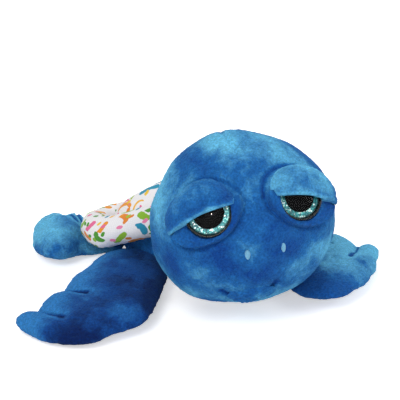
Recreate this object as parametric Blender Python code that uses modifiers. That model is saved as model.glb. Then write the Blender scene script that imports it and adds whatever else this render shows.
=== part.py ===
"""Plush sea turtle lying on its belly: drowsy round head, padded shell and four stuffed flippers.

Lengths are metres and +Z is up. The head points along -Y and the turtle's right side is -X.
The origin is the middle of the belly's flat underside.
"""

import math

import bmesh
import bpy
from mathutils import Matrix, Vector

# Cloth, fits and cuts
CLOTH = 0.0012  # one cloth wall with its pile pressed
SEW_GAP = 0.0003  # between pieces that are sewn or glued together
TURN_GAP = 0.0006  # between pieces that turn in each other
FILL_GAP = 0.0010  # between a cover and its filling
FLIPPER_FILL_GAP = 0.0030  # the same in the flippers, which are filled slackly
SETTLE_SHARE = 0.62  # how far a cage's corner goes towards its neighbours' middle in rounding
PRESSED_FLAT = 0.0005  # how deep the floor flattens the belly
FLOOR_CLEARANCE = 0.0004  # under the flippers
OVERRUN = 0.0600  # how far a cutter passes what it cuts

# Torso, below the shell
BELLY_HALF_WIDTH = 0.0340
BELLY_FRONT = 0.0360  # from the origin to the chest
BELLY_BACK = 0.0275
BELLY_SQUARENESS = 2.8  # exponent of the rounded plan
BELLY_TUCK = 0.0020  # how far inside the roll the belly's top edge lies
BELLY_SIDES = 12
BELLY_ROW_SHARES = ((0.55, 0.0), (0.86, 0.04), (1.00, 0.28), (1.00, 0.62), (1.00, 0.96))  # out, up
BELLY_LEAN_POWER = 2  # how late its walls lean in towards the shell
BELLY_ROOM_SHARE = 1.30  # how far up the belly's room goes, of the way to the shell

# Shell: a padded roll round a dome, tilted up at the neck
SHELL_HALF_WIDTH = 0.0515  # to the middle of the roll
SHELL_HALF_LENGTH = 0.0325
SHELL_SQUARENESS = 2.2  # exponent of the roll's plan
SHELL_BACK_SHIFT = 0.0040
SHELL_HEIGHT = 0.0196
SHELL_TILT = math.radians(12)
SHELL_ARCH = 0.0100  # extra rise of the roll over the neck
ROLL_RADIUS = 0.0085
ROLL_CAGE_SHARE = 1.18  # the roll's six-sided cage stands this much off its rounded surface
DOME_RISE = 0.0180
DOME_FOOT_LIFT_SHARE = 0.30  # of the roll's radius
DOME_STEP_SHARES = (0.0, 0.34, 0.66, 0.90)  # of the quarter turn from the foot to the top
SHELL_SIDES = 12
ROLL_SPANS = 14
ROLL_SIDES = 6

# Neck: a stuffed ball between the head and a short sleeve on the chest
NECK = Vector((0.0040, -0.0485, 0.0330))
NECK_RADIUS = 0.0140
SLEEVE_RADIUS = 0.0100
SLEEVE_START = Vector((0.0000, -0.0200, 0.0150))

# Head
HEAD_HALF_WIDTH = 0.0475
HEAD_HALF_DEPTH = 0.0410
HEAD_HALF_HEIGHT = 0.0442
HEAD_FROM_NECK = Vector((0.0030, -0.0295, 0.0216))
HEAD_TURN = math.radians(-7)
HEAD_ROLL = math.radians(-6)
HEAD_SEGMENTS = 24
HEAD_RINGS = 14
HEAD_CROWN_SQUARENESS = 1.74  # exponents of the head's outline above and below its middle
HEAD_JAW_SQUARENESS = 2.38

# Face
EYE_AZIMUTH = math.radians(36.5)
EYE_ELEVATION = math.radians(24.0)
EYE_SLEW = math.radians(2.4)  # how far both eyes sit round to the turtle's right on the slumped head
EYE_RADIUS = 0.0120
EYE_RIM = 0.0010
PUPIL_RADIUS = 0.0078
EYE_TOE_IN = math.radians(11)  # how far the eyes turn to the front on the round head
EYE_SINK = 0.0002  # how far the cup's back lies under the head's surface
CUP_DEPTH = 0.0024
CUP_FLOOR = 0.0008
IRIS_THICKNESS = 0.0005
PUPIL_THICKNESS = 0.0004
LENS_RISE = 0.0034
LENS_EDGE = 0.0005
LENS_ANGLES = [math.radians(angle) for angle in (0, 32, 64)]
EYE_FIT = 0.0001  # between the eye's own parts
SHANK_RADIUS = 0.0024
SHANK_LENGTH = 0.0120
WASHER_RADIUS = 0.0080
WASHER_THICKNESS = 0.0014
LID_HALF_WIDTH = 0.0200
LID_HALF_HEIGHT = 0.0168
LID_OUTWARD = 0.0026  # from the eye's middle towards the cheek, along the slanted edge
LID_RISE = 0.0110
LID_DROOP = math.radians(32)
LID_EDGE_ABOVE_PUPIL = 0.0005
PATCH_HALF_HEIGHT = 0.0140
PATCH_RISE = 0.0034
NOSTRIL_AZIMUTH = math.radians(12.8)
NOSTRIL_ELEVATION = math.radians(-5.7)
NOSTRIL_HALF_WIDTH = 0.0017
NOSTRIL_HALF_HEIGHT = 0.0028
NOSTRIL_RISE = 0.0009
CHIN_AZIMUTH = math.radians(12)  # to the turtle's right, where the slumped muzzle settles
CHIN_ELEVATION = math.radians(-45)
CHIN_HALF_WIDTH = 0.0125
CHIN_HALF_HEIGHT = 0.0070
CHIN_RISE = 0.0016
ROUND_SEGMENTS = 20  # sides of the eyes' round parts

# Pellet bag in the belly
BAG_HALF_WIDTH = 0.0190
BAG_HALF_LENGTH = 0.0190
BAG_HALF_HEIGHT = 0.0080
BAG_CLOTH = 0.0006

# Flippers. Each outline runs from the hinge at share 0 to the tip at share 1.
# Rows: share of the length, then shares of the reach to the leading and trailing edge,
# share of the thickness, and share of it left at the trailing edge, where a finger is pinched.
FRONT = {
    "root": Vector((-0.0330, -0.0210, 0.0000)),
    "yaw": math.radians(29),
    "length": 0.0935,
    "lead_reach": 0.0460,
    "trail_reach": 0.0155,
    "root_half_chord": 0.0190,
    "root_radius": 0.0075,
    "half_thickness": 0.0080,
    "tip_lift": 0.0000,
    "outline_shares": (
        (0.08, 0.56, 1.15, 0.95, 1.00),
        (0.28, 0.80, 0.98, 1.00, 1.00),
        (0.47, 0.98, 0.80, 1.00, 0.95),
        (0.57, 1.02, 0.42, 0.96, 0.50),
        (0.67, 1.00, 0.62, 0.90, 0.95),
        (0.81, 0.92, 0.28, 0.78, 0.50),
        (0.90, 0.84, 0.60, 0.64, 0.95),
        (0.98, 0.58, 0.50, 0.44, 1.00),
    ),
}
REAR = {
    "root": Vector((-0.0305, 0.0205, 0.0000)),
    "yaw": math.radians(-25),
    "length": 0.0510,
    "lead_reach": 0.0290,
    "trail_reach": 0.0235,
    "root_half_chord": 0.0090,
    "root_radius": 0.0028,
    "half_thickness": 0.0085,
    "tip_lift": 0.0000,
    "outline_shares": (
        (0.12, 0.46, 0.44, 0.30, 1.00),
        (0.36, 0.76, 0.72, 0.31, 1.00),
        (0.45, 0.86, 0.92, 0.70, 1.00),
        (0.54, 0.94, 1.06, 1.00, 0.85),
        (0.65, 0.94, 0.76, 1.00, 0.50),
        (0.78, 0.88, 1.02, 0.96, 0.90),
        (0.94, 0.46, 0.62, 0.66, 1.00),
    ),
}
LEFT_FRONT = {  # its end is drawn in and bent up
    **FRONT,
    "yaw": math.radians(32),
    "length": 0.0680,
    "lead_reach": 0.0590,
    "tip_lift": 0.0060,
    "outline_shares": (
        (0.08, 0.46, 1.15, 0.95, 1.00),
        (0.28, 0.74, 0.98, 1.00, 1.00),
        (0.47, 0.94, 0.92, 1.00, 0.95),
        (0.62, 1.02, 0.96, 0.94, 0.80),
        (0.72, 1.01, 0.74, 0.88, 0.90),
        (0.81, 0.95, 0.20, 0.78, 0.50),
        (0.90, 0.84, 0.58, 0.64, 0.95),
        (0.98, 0.50, 0.30, 0.44, 1.00),
    ),
}
NOSE_ANGLES = (math.radians(-62), math.radians(-30), math.radians(0))
FLIPPER_SIDES = 6
FLIPPER_SQUARENESS = 2.3  # exponent of the rounded sections
REACH_CAGE_SHARE = 1.17  # the cage stands this much off the rounded flipper across
RISE_CAGE_SHARE = 1.20  # and this much up
TIP_SHARE = 0.025  # of the length, past the last row
TIP_DRAW_SHARE = 0.45
FILL_FIT_SHARE = 1.5  # a section holds filling where it is thicker than this many insets

PALE_BLUE = (0.30, 0.62, 0.80)
PLUSH_BLUE = (0.07, 0.27, 0.56)
PRINT_WHITE = (0.90, 0.88, 0.88)
FIBRE_WHITE = (0.86, 0.86, 0.84)
PELLET_CLEAR = (0.75, 0.75, 0.70)
EYE_BLACK = (0.01, 0.01, 0.012)
IRIS_TEAL = (0.05, 0.36, 0.36)
LENS_CLEAR = (0.80, 0.86, 0.88)


def clear_scene():
    """Removes whatever the file opened with."""
    for item in list(bpy.data.objects):
        bpy.data.objects.remove(item)


def new_collection(name):
    """A collection under the scene's own."""
    collection = bpy.data.collections.new(name)
    bpy.context.scene.collection.children.link(collection)
    return collection


def finish(name, color, roughness):
    """A plain surface finish."""
    material = bpy.data.materials.new(name)
    material.use_nodes = True
    shader = material.node_tree.nodes["Principled BSDF"]
    shader.inputs["Base Color"].default_value = (*color, 1.0)
    shader.inputs["Roughness"].default_value = roughness
    return material


def add_empty(name, place, parent=None):
    """An empty that carries pieces, placed within its parent."""
    item = bpy.data.objects.new(name, None)
    PARTS.objects.link(item)
    item.parent = parent
    item.matrix_local = place
    return item


def add_piece(name, mesh, material, parent=None, place=None):
    """Links a mesh as a smooth-shaded sub-part, placed within its parent."""
    mesh.shade_smooth()
    mesh.materials.append(material)
    item = bpy.data.objects.new(name, mesh)
    PARTS.objects.link(item)
    item.parent = parent
    item.matrix_local = place or Matrix.Identity(4)
    return item


def add_cutter(name, mesh, parent=None, place=None):
    """Links a mesh as a cutter that stays out of the model."""
    item = bpy.data.objects.new(name, mesh)
    CUTTERS.objects.link(item)
    item.parent = parent
    item.matrix_local = place or Matrix.Identity(4)
    item.hide_render = True
    item.display_type = "WIRE"
    return item


def smooth(item, levels=1):
    """Rounds a coarse cage."""
    rounding = item.modifiers.new("round", "SUBSURF")
    rounding.levels = levels
    rounding.render_levels = levels


def hollow(item, wall=CLOTH):
    """Turns an open surface into a cloth wall that lies inside it."""
    cloth = item.modifiers.new("cloth", "SOLIDIFY")
    cloth.thickness = wall
    cloth.offset = -1


def cut(item, cutter):
    """Takes a cutter out of a piece."""
    hole = item.modifiers.new("cut " + cutter.name, "BOOLEAN")
    hole.operation = "DIFFERENCE"
    hole.object = cutter


def loft(name, rings, start_cap=False, end_cap=False, loop=False):
    """A mesh through rings of equal counts, each ring a closed loop of points."""
    work = bmesh.new()
    loops = [[work.verts.new(point) for point in ring] for ring in rings]
    pairs = list(zip(loops, loops[1:]))
    if loop:
        pairs.append((loops[-1], loops[0]))
    for near, far in pairs:
        count = len(near)
        for i in range(count):
            j = (i + 1) % count
            work.faces.new((near[i], near[j], far[j], far[i]))
    if start_cap:
        work.faces.new(list(reversed(loops[0])))
    if end_cap:
        work.faces.new(loops[-1])
    bmesh.ops.recalc_face_normals(work, faces=work.faces)
    middle = sum((corner.co for corner in work.verts), Vector()) / len(work.verts)
    if not loop and sum((face.calc_center_median() - middle).dot(face.normal) for face in work.faces) < 0:
        bmesh.ops.reverse_faces(work, faces=work.faces)
    return to_mesh(name, work)


def settled(rings):
    """Moves the points of a cage to where rounding it would put them, for a piece left unrounded."""
    rows = []
    for i, ring in enumerate(rings):
        before, after = rings[max(i - 1, 0)], rings[min(i + 1, len(rings) - 1)]
        row = []
        for k, point in enumerate(ring):
            around = ring[k - 1] + ring[(k + 1) % len(ring)]
            row.append(point.lerp((around + before[k] + after[k]) / 4, SETTLE_SHARE))
        rows.append(row)
    return rows


def to_mesh(name, work):
    """A mesh from a finished bmesh."""
    mesh = bpy.data.meshes.new(name)
    work.to_mesh(mesh)
    work.free()
    return mesh


def ball_mesh(name, half_sizes, segments, rings):
    """An ellipsoid about the origin, its poles on the z axis."""
    work = bmesh.new()
    bmesh.ops.create_uvsphere(work, u_segments=segments, v_segments=rings, radius=1)
    bmesh.ops.scale(work, vec=Vector(half_sizes), verts=work.verts)
    return to_mesh(name, work)


def drum_mesh(name, radius, low, high):
    """A cylinder on the z axis from low to high."""
    work = bmesh.new()
    bmesh.ops.create_cone(
        work,
        cap_ends=True,
        segments=ROUND_SEGMENTS,
        radius1=radius,
        radius2=radius,
        depth=high - low,
    )
    bmesh.ops.translate(work, vec=(0, 0, (high + low) / 2), verts=work.verts)
    return to_mesh(name, work)


def block_mesh(name, low, high):
    """A box between two corners."""
    low, high = Vector(low), Vector(high)
    work = bmesh.new()
    bmesh.ops.create_cube(work, size=1)
    bmesh.ops.scale(work, vec=high - low, verts=work.verts)
    bmesh.ops.translate(work, vec=(high + low) / 2, verts=work.verts)
    return to_mesh(name, work)


def turned_mesh(name, profile, ring_shaped=False):
    """A profile of (radius, height) points turned about the z axis and capped, or closed as a ring."""
    turns = [2 * math.pi * i / ROUND_SEGMENTS for i in range(ROUND_SEGMENTS)]
    rings = [
        [Vector((radius * math.cos(turn), radius * math.sin(turn), height)) for turn in turns]
        for radius, height in profile
    ]
    return loft(name, rings, not ring_shaped, not ring_shaped, ring_shaped)


def rounded(angle, squareness):
    """Cosine and sine of a superellipse."""
    c, s = math.cos(angle), math.sin(angle)
    power = 2 / squareness
    return math.copysign(abs(c) ** power, c), math.copysign(abs(s) ** power, s)


def shell_point(angle, inset, lift):
    """A point of the tilted shell: angle 0 is the neck, inset is measured in from the roll's middle."""
    arch = SHELL_ARCH * max(0, math.cos(angle)) ** 2
    plan_cos, plan_sin = rounded(angle, SHELL_SQUARENESS)
    across = (SHELL_HALF_WIDTH - inset) * plan_sin
    along = -(SHELL_HALF_LENGTH - inset) * plan_cos
    up = lift + arch
    tilt_cos, tilt_sin = math.cos(SHELL_TILT), math.sin(SHELL_TILT)
    y = SHELL_BACK_SHIFT + along * tilt_cos + up * tilt_sin
    return Vector((across, y, SHELL_HEIGHT - along * tilt_sin + up * tilt_cos))


def shell_ring(inset, lift, count):
    """One ring of shell points."""
    return [shell_point(2 * math.pi * i / count, inset, lift) for i in range(count)]


def dome_rings(drop):
    """Rings of the shell's dome, from inside the roll to the top, drop below the cloth's outside."""
    foot_inset = ROLL_RADIUS + SEW_GAP + drop
    foot_lift = ROLL_RADIUS * DOME_FOOT_LIFT_SHARE
    rings = []
    for share in DOME_STEP_SHARES:
        inset = foot_inset + (SHELL_HALF_LENGTH - foot_inset) * (1 - math.cos(share * math.pi / 2))
        lift = foot_lift + (DOME_RISE - foot_lift) * math.sin(share * math.pi / 2) - drop
        rings.append(shell_ring(inset, lift, SHELL_SIDES))
    return rings


def belly_ring(share_out, share_up, inset):
    """A ring of the belly: share_out of the plan's size, share_up of the way to the shell."""
    top_inset = ROLL_RADIUS + BELLY_TUCK + inset
    ring = []
    for i in range(BELLY_SIDES):
        angle = 2 * math.pi * i / BELLY_SIDES
        c, s = rounded(angle, BELLY_SQUARENESS)
        reach = BELLY_FRONT if c > 0 else BELLY_BACK
        low = Vector(((BELLY_HALF_WIDTH - inset) * s * share_out, -(reach - inset) * c * share_out, 0))
        high = shell_point(angle, top_inset, 0)
        lean = share_up**BELLY_LEAN_POWER
        point = low.lerp(high, lean)
        point.z = -PRESSED_FLAT + inset + (high.z + PRESSED_FLAT - inset) * share_up
        ring.append(point)
    return ring


def belly_rings(inset):
    """Rings of the belly, from its flat underside up to the shell."""
    return [belly_ring(out, up, inset) for out, up in BELLY_ROW_SHARES]


def roll_rings(grow=0.0):
    """Rings of the padded roll, its radius grown all round."""
    rings = []
    for i in range(ROLL_SPANS):
        angle = 2 * math.pi * i / ROLL_SPANS
        turns = [2 * math.pi * k / ROLL_SIDES for k in range(ROLL_SIDES)]
        radius = (ROLL_RADIUS + grow) * ROLL_CAGE_SHARE
        rings.append([shell_point(angle, radius * math.cos(t), radius * math.sin(t)) for t in turns])
    return rings


def flipper_place(shape, side):
    """A flipper's hinge: y runs back along it and x out to the turtle's left. Side is -1 or 1."""
    height = shape["root_radius"] + FLOOR_CLEARANCE
    root = Vector((-side * shape["root"].x, shape["root"].y, height))
    return Matrix.Translation(root) @ Matrix.Rotation(-side * shape["yaw"], 4, "Z")


def flipper_section(out, lead, trail, half, left_at_trail, inset):
    """One closed section of a flipper, drawn in all round by inset. Its underside stays level."""
    middle, reach = (trail - lead) / 2, (trail + lead) / 2
    ring = []
    for i in range(FLIPPER_SIDES):
        across, up = rounded(2 * math.pi * i / FLIPPER_SIDES, FLIPPER_SQUARENESS)
        pinch = left_at_trail if across > 0 and up > 0 else 1
        across, up = across * REACH_CAGE_SHARE, up * RISE_CAGE_SHARE
        ring.append(Vector((out, middle + (reach - inset) * across, (half * pinch - inset) * up)))
    return ring


def flipper_mesh(name, shape, side, inset=0.0, closed=False):
    """A flipper from its round root nose to its tip, in its hinge's frame: an open cage, or closed."""
    radius, chord = shape["root_radius"], shape["root_half_chord"]
    rings = []
    for angle in NOSE_ANGLES:
        size = math.cos(angle)
        if radius * size > FILL_FIT_SHARE * inset:
            out = (radius - inset) * math.sin(angle)
            rings.append(flipper_section(out, chord * size, chord * size, radius * size, 1, inset))
    for along, lead, trail, thick, left_at_trail in shape["outline_shares"]:
        half = shape["half_thickness"] * thick
        if half < FILL_FIT_SHARE * inset:
            continue
        lead, trail = shape["lead_reach"] * lead, shape["trail_reach"] * trail
        out = (shape["length"] - inset) * along
        ring = flipper_section(out, lead, trail, half, left_at_trail, inset)
        lift = half - radius + shape["tip_lift"] * along**2
        rings.append([point + Vector((0, 0, lift)) for point in ring])
    end = rings[-1]
    middle = sum(end, Vector()) / len(end)
    beyond = Vector((shape["length"] * TIP_SHARE - inset, 0, 0))
    rings.append([point.lerp(middle, TIP_DRAW_SHARE) + beyond for point in end])
    mirror = Matrix.Diagonal((side, 1, 1)).to_4x4()
    rings = [[mirror @ point for point in ring] for ring in rings]
    if closed:
        return loft(name, settled(rings[:-1]), True, True)
    return loft(name, rings, end_cap=True)


def head_squareness(height):
    """The exponent of the head's outline above or below its middle."""
    return HEAD_JAW_SQUARENESS if height < 0 else HEAD_CROWN_SQUARENESS


def head_mesh(name, grow=0.0, coarse=False):
    """The head, grown all round: a ball with a narrow crown and full cheeks."""
    divisor = 2 if coarse else 1
    sizes = Vector((HEAD_HALF_WIDTH + grow, HEAD_HALF_DEPTH + grow, HEAD_HALF_HEIGHT + grow))
    work = bmesh.new()
    bmesh.ops.create_uvsphere(
        work, u_segments=HEAD_SEGMENTS // divisor, v_segments=HEAD_RINGS // divisor, radius=1
    )
    for corner in work.verts:
        power = head_squareness(corner.co.z)
        level = math.hypot(corner.co.x, corner.co.y)
        corner.co *= sizes / (level**power + abs(corner.co.z) ** power) ** (1 / power)
    return to_mesh(name, work)


def head_spot(azimuth, elevation, side):
    """A place on the head's surface, where z points out of it and y up along it."""
    width, depth, height = HEAD_HALF_WIDTH, HEAD_HALF_DEPTH, HEAD_HALF_HEIGHT
    power = head_squareness(elevation)
    x = side * math.sin(azimuth) * math.cos(elevation)
    y = -math.cos(azimuth) * math.cos(elevation)
    z = math.sin(elevation)
    level = math.hypot(x / width, y / depth)
    reach = (level**power + abs(z / height) ** power) ** (-1 / power)
    steepness = math.copysign(abs(z / height) ** (power - 1), z) / height
    out = Vector((x / width**2, y / depth**2, 0)) * level ** (power - 2)
    out = (out + Vector((0, 0, steepness))).normalized()
    across = Vector((0, 0, 1)).cross(out).normalized()
    turn = Matrix((across, out.cross(across), out)).transposed().to_4x4()
    return Matrix.Translation(Vector((x, y, z)) * reach) @ turn


clear_scene()
PARTS = new_collection("plush turtle")
CUTTERS = new_collection("cutters")
PLUSH = finish("blue plush", PLUSH_BLUE, 0.95)
PRINTED = finish("printed cloth", PRINT_WHITE, 0.90)
FIBRE = finish("polyester fibre", FIBRE_WHITE, 1.00)
PELLET = finish("plastic pellets", PELLET_CLEAR, 0.50)
BLACK = finish("black plastic", EYE_BLACK, 0.25)
GLITTER = finish("teal glitter", IRIS_TEAL, 0.35)
CLEAR = finish("clear plastic", LENS_CLEAR, 0.05)
THREAD = finish("pale blue thread", PALE_BLUE, 0.70)
FILL_INSET = CLOTH + FILL_GAP
FLIPPER_FILL_INSET = CLOTH + FLIPPER_FILL_GAP

NECK_PIVOT = add_empty(
    "neck pivot",
    Matrix.Translation(NECK) @ Matrix.Rotation(HEAD_TURN, 4, "Z") @ Matrix.Rotation(HEAD_ROLL, 4, "Y"),
)
HEAD_MIDDLE = add_empty("head middle", Matrix.Translation(HEAD_FROM_NECK), NECK_PIVOT)
FLIPPERS = (
    ("front", "right", FRONT, -1),
    ("front", "left", LEFT_FRONT, 1),
    ("rear", "right", REAR, -1),
    ("rear", "left", REAR, 1),
)
HINGES = {
    (label, word): add_empty(f"{label} hinge {word}", flipper_place(shape, side))
    for label, word, shape, side in FLIPPERS
}

# Room that one piece leaves for another
FLOOR = add_cutter("floor", block_mesh("floor", (-OVERRUN, -OVERRUN, -OVERRUN), (OVERRUN, OVERRUN, 0)))
NECK_ROOM = add_cutter(
    "neck room", ball_mesh("neck room", [NECK_RADIUS + TURN_GAP] * 3, 24, 14), NECK_PIVOT
)
HEAD_ROOM = add_cutter("head room", head_mesh("head room", SEW_GAP), HEAD_MIDDLE)
ROLL_ROOM = add_cutter("roll room", loft("roll room", roll_rings(SEW_GAP), loop=True))
smooth(ROLL_ROOM)
BELLY_ROOM_RINGS = belly_rings(-SEW_GAP) + [belly_ring(1, BELLY_ROOM_SHARE, -SEW_GAP)]
BELLY_ROOM = add_cutter("belly room", loft("belly room", BELLY_ROOM_RINGS, True, True))
smooth(BELLY_ROOM)
BAG_PLACE = Matrix.Translation((0, 0, FILL_INSET - PRESSED_FLAT + BAG_HALF_HEIGHT))


def build_neck():
    """The stuffed ball on which the head turns and nods, and the sleeve that holds it."""
    ball = ball_mesh("neck", [NECK_RADIUS] * 3, 20, 12)
    add_piece("neck", ball, PLUSH, NECK_PIVOT)
    way = NECK - SLEEVE_START
    place = Matrix.Translation(SLEEVE_START) @ way.to_track_quat("Z", "Y").to_matrix().to_4x4()
    sleeve = add_piece(
        "neck_sleeve", drum_mesh("sleeve", SLEEVE_RADIUS, 0, way.length), PLUSH, place=place
    )
    for cutter in (NECK_ROOM, BELLY_ROOM, ROLL_ROOM):
        cut(sleeve, cutter)


def build_torso():
    """Belly, shell and what they hold."""
    belly = add_piece("belly_cover", loft("belly", belly_rings(0), start_cap=True), PLUSH)
    smooth(belly)
    hollow(belly)
    shell = add_piece("shell_cover", loft("shell", dome_rings(0), end_cap=True), PRINTED)
    smooth(shell)
    hollow(shell)
    roll = add_piece("shell_rim", loft("roll", roll_rings(), loop=True), PRINTED)
    smooth(roll)
    rings = settled(belly_rings(FILL_INSET + SEW_GAP) + dome_rings(FILL_INSET)[:-1])
    filling = add_piece("body_stuffing", loft("stuffing", rings, True, True), FIBRE)
    room_sizes = [
        size + FILL_GAP for size in (BAG_HALF_WIDTH, BAG_HALF_LENGTH, BAG_HALF_HEIGHT)
    ]
    cut(filling, add_cutter("bag room", ball_mesh("bag room", room_sizes, 16, 10), place=BAG_PLACE))
    for label, word, shape, _ in FLIPPERS:
        radius, chord = shape["root_radius"] + TURN_GAP, shape["root_half_chord"] + TURN_GAP
        groove = ball_mesh("root room", (radius, chord, radius), 20, 12)
        room = add_cutter(f"{label} root room {word}", groove, HINGES[label, word])
        cut(belly, room)
        cut(filling, room)
    cut(belly, FLOOR)


def build_bag():
    """The pellet bag that holds the belly down."""
    sizes = (BAG_HALF_WIDTH, BAG_HALF_LENGTH, BAG_HALF_HEIGHT)
    bag = add_piece("pellet_bag", ball_mesh("bag", sizes, 12, 8), FIBRE, place=BAG_PLACE)
    work = bmesh.new()
    work.from_mesh(bag.data)
    top = max(work.verts, key=lambda corner: corner.co.z)
    bmesh.ops.delete(work, geom=[top], context="VERTS")
    work.to_mesh(bag.data)
    work.free()
    hollow(bag, BAG_CLOTH)
    inner = [size - BAG_CLOTH - SEW_GAP for size in sizes]
    add_piece("pellets", ball_mesh("pellets", inner, 12, 8), PELLET, place=BAG_PLACE)


def build_flippers():
    """Four flippers, each a cloth cover open at its root round a light filling."""
    for label, word, shape, side in FLIPPERS:
        hinge = HINGES[label, word]
        cover = add_piece(f"{label}_flipper_{word}", flipper_mesh("flipper", shape, side), PLUSH, hinge)
        smooth(cover)
        hollow(cover)
        filling = flipper_mesh("filling", shape, side, FLIPPER_FILL_INSET, closed=True)
        add_piece(f"{label}_stuffing_{word}", filling, FIBRE, hinge)


def build_head():
    """Head cover and filling, with the chin pad and the sewn nostrils."""
    cover = add_piece("head_cover", head_mesh("head"), PLUSH, HEAD_MIDDLE)
    hollow(cover)
    cut(cover, NECK_ROOM)
    ball = head_mesh("filling", -FILL_INSET, coarse=True)
    filling = add_piece("head_stuffing", ball, FIBRE, HEAD_MIDDLE)
    cut(filling, NECK_ROOM)
    chin_sizes = (CHIN_HALF_WIDTH, CHIN_HALF_HEIGHT, CHIN_RISE)
    chin = add_piece(
        "chin_pad",
        ball_mesh("chin", chin_sizes, 14, 8),
        PLUSH,
        HEAD_MIDDLE,
        head_spot(CHIN_AZIMUTH, CHIN_ELEVATION, -1),
    )
    cut(chin, HEAD_ROOM)
    stitch_sizes = (NOSTRIL_HALF_WIDTH, NOSTRIL_HALF_HEIGHT, NOSTRIL_RISE)
    for side, word in ((-1, "right"), (1, "left")):
        stitch = add_piece(
            f"nostril_{word}",
            ball_mesh("nostril", stitch_sizes, 10, 6),
            THREAD,
            HEAD_MIDDLE,
            head_spot(NOSTRIL_AZIMUTH, NOSTRIL_ELEVATION, side),
        )
        cut(stitch, HEAD_ROOM)
        build_eye(side, word, cover, filling)


def build_eye(side, word, cover, filling):
    """One safety eye on its shank and washer, under a padded lid."""
    place = head_spot(EYE_AZIMUTH - side * EYE_SLEW, EYE_ELEVATION, side)
    spot = add_empty(f"eye spot {word}", place, HEAD_MIDDLE)
    eye = add_empty(f"eye {word}", Matrix.Rotation(-side * EYE_TOE_IN, 4, "Y"), spot)
    back = -EYE_SINK
    cup_top = back + CUP_DEPTH
    floor_top = back + CUP_FLOOR
    inner = EYE_RADIUS - EYE_RIM
    cup_profile = (
        (SHANK_RADIUS, back - SHANK_LENGTH),
        (SHANK_RADIUS, back),
        (EYE_RADIUS, back),
        (EYE_RADIUS, cup_top),
        (inner, cup_top),
        (inner, floor_top),
    )
    add_piece(f"eye_cup_{word}", turned_mesh("cup", cup_profile), BLACK, eye)
    iris_low = floor_top + EYE_FIT
    iris_top = iris_low + IRIS_THICKNESS
    iris = drum_mesh("iris", inner - EYE_FIT, iris_low, iris_top)
    add_piece(f"eye_iris_{word}", iris, GLITTER, eye)
    pupil_low = iris_top + EYE_FIT
    pupil = drum_mesh("pupil", PUPIL_RADIUS, pupil_low, pupil_low + PUPIL_THICKNESS)
    add_piece(f"eye_pupil_{word}", pupil, BLACK, eye)
    lens_low = cup_top + EYE_FIT
    lens_edge = lens_low + LENS_EDGE
    dome = [(EYE_RADIUS * math.cos(a), lens_edge + LENS_RISE * math.sin(a)) for a in LENS_ANGLES]
    add_piece(f"eye_lens_{word}", turned_mesh("lens", [(EYE_RADIUS, lens_low), *dome]), CLEAR, eye)

    sag = WASHER_RADIUS**2 / (2 * HEAD_HALF_DEPTH) + WASHER_RADIUS * math.sin(EYE_TOE_IN)
    washer_top = -CLOTH - 3 * SEW_GAP - sag
    hole = SHANK_RADIUS + SEW_GAP
    washer_low = washer_top - WASHER_THICKNESS
    washer_profile = (
        (hole, washer_low),
        (WASHER_RADIUS, washer_low),
        (WASHER_RADIUS, washer_top),
        (hole, washer_top),
    )
    add_piece(f"eye_washer_{word}", turned_mesh("washer", washer_profile, True), BLACK, eye)
    washer_room = drum_mesh(
        "washer room", WASHER_RADIUS + FILL_GAP, washer_low - FILL_GAP, LID_RISE
    )
    shank_room = drum_mesh(
        "shank room", SHANK_RADIUS + SEW_GAP, back - SHANK_LENGTH - FILL_GAP, LID_RISE
    )
    shank_cutter = add_cutter(f"shank room {word}", shank_room, eye)
    cut(filling, add_cutter(f"washer room {word}", washer_room, eye))
    cut(filling, shank_cutter)
    cut(cover, shank_cutter)
    room_profile = [(EYE_RADIUS + SEW_GAP, back - SEW_GAP)]
    room_profile += [(radius + SEW_GAP, height + SEW_GAP) for radius, height in dome]
    cut(cover, add_cutter(f"eye room {word}", turned_mesh("eye room", room_profile), eye))
    under_cup = back - 2 * EYE_RADIUS * math.sin(EYE_TOE_IN)
    through_profile = [(EYE_RADIUS + SEW_GAP, under_cup), *room_profile[1:]]
    lid_room = add_cutter(f"lid room {word}", turned_mesh("lid room", through_profile), eye)

    # The lid's lower edge slants down towards the cheek, and the patch below meets it there
    slant = Matrix.Rotation(-side * LID_DROOP, 4, "Z")
    plan = slant @ Matrix.Translation((side * LID_OUTWARD, 0, 0))
    half = OVERRUN
    edge = LID_EDGE_ABOVE_PUPIL
    below = block_mesh("below lid", (-half, edge - half, -half), (half, edge, half))
    above = block_mesh("above patch", (-half, edge - SEW_GAP, -half), (half, edge + half, half))
    below_lid = add_cutter(f"below lid {word}", below, spot, slant)
    above_patch = add_cutter(f"above patch {word}", above, spot, slant)
    lid_sizes = (LID_HALF_WIDTH, LID_HALF_HEIGHT, LID_RISE)
    lid = add_piece(f"eyelid_{word}", ball_mesh("lid", lid_sizes, 20, 12), PLUSH, spot, plan)
    patch_sizes = (LID_HALF_WIDTH, PATCH_HALF_HEIGHT, PATCH_RISE)
    patch = add_piece(
        f"eye_patch_{word}", ball_mesh("patch", patch_sizes, 20, 12), PLUSH, spot, plan
    )
    for item, other in ((lid, below_lid), (patch, above_patch)):
        for cutter in (other, HEAD_ROOM, lid_room):
            cut(item, cutter)


build_neck()
build_torso()
build_bag()
build_flippers()
build_head()
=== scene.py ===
"""Plush sea turtle lying on its belly, dressed in its cloths, stitches and eyes.

Lengths are metres and +Z is up. The head points along -Y and the turtle's right side is -X.
"""

import logging
import math
from dataclasses import dataclass, replace
from enum import Enum
from functools import cache
from typing import Any, Callable, Optional, Sequence

import bmesh
import bpy
import numpy as np
from bpy.types import Material, Mesh, Node, NodeSocket, NodeTree, Object
from mathutils import Matrix, Vector


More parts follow.
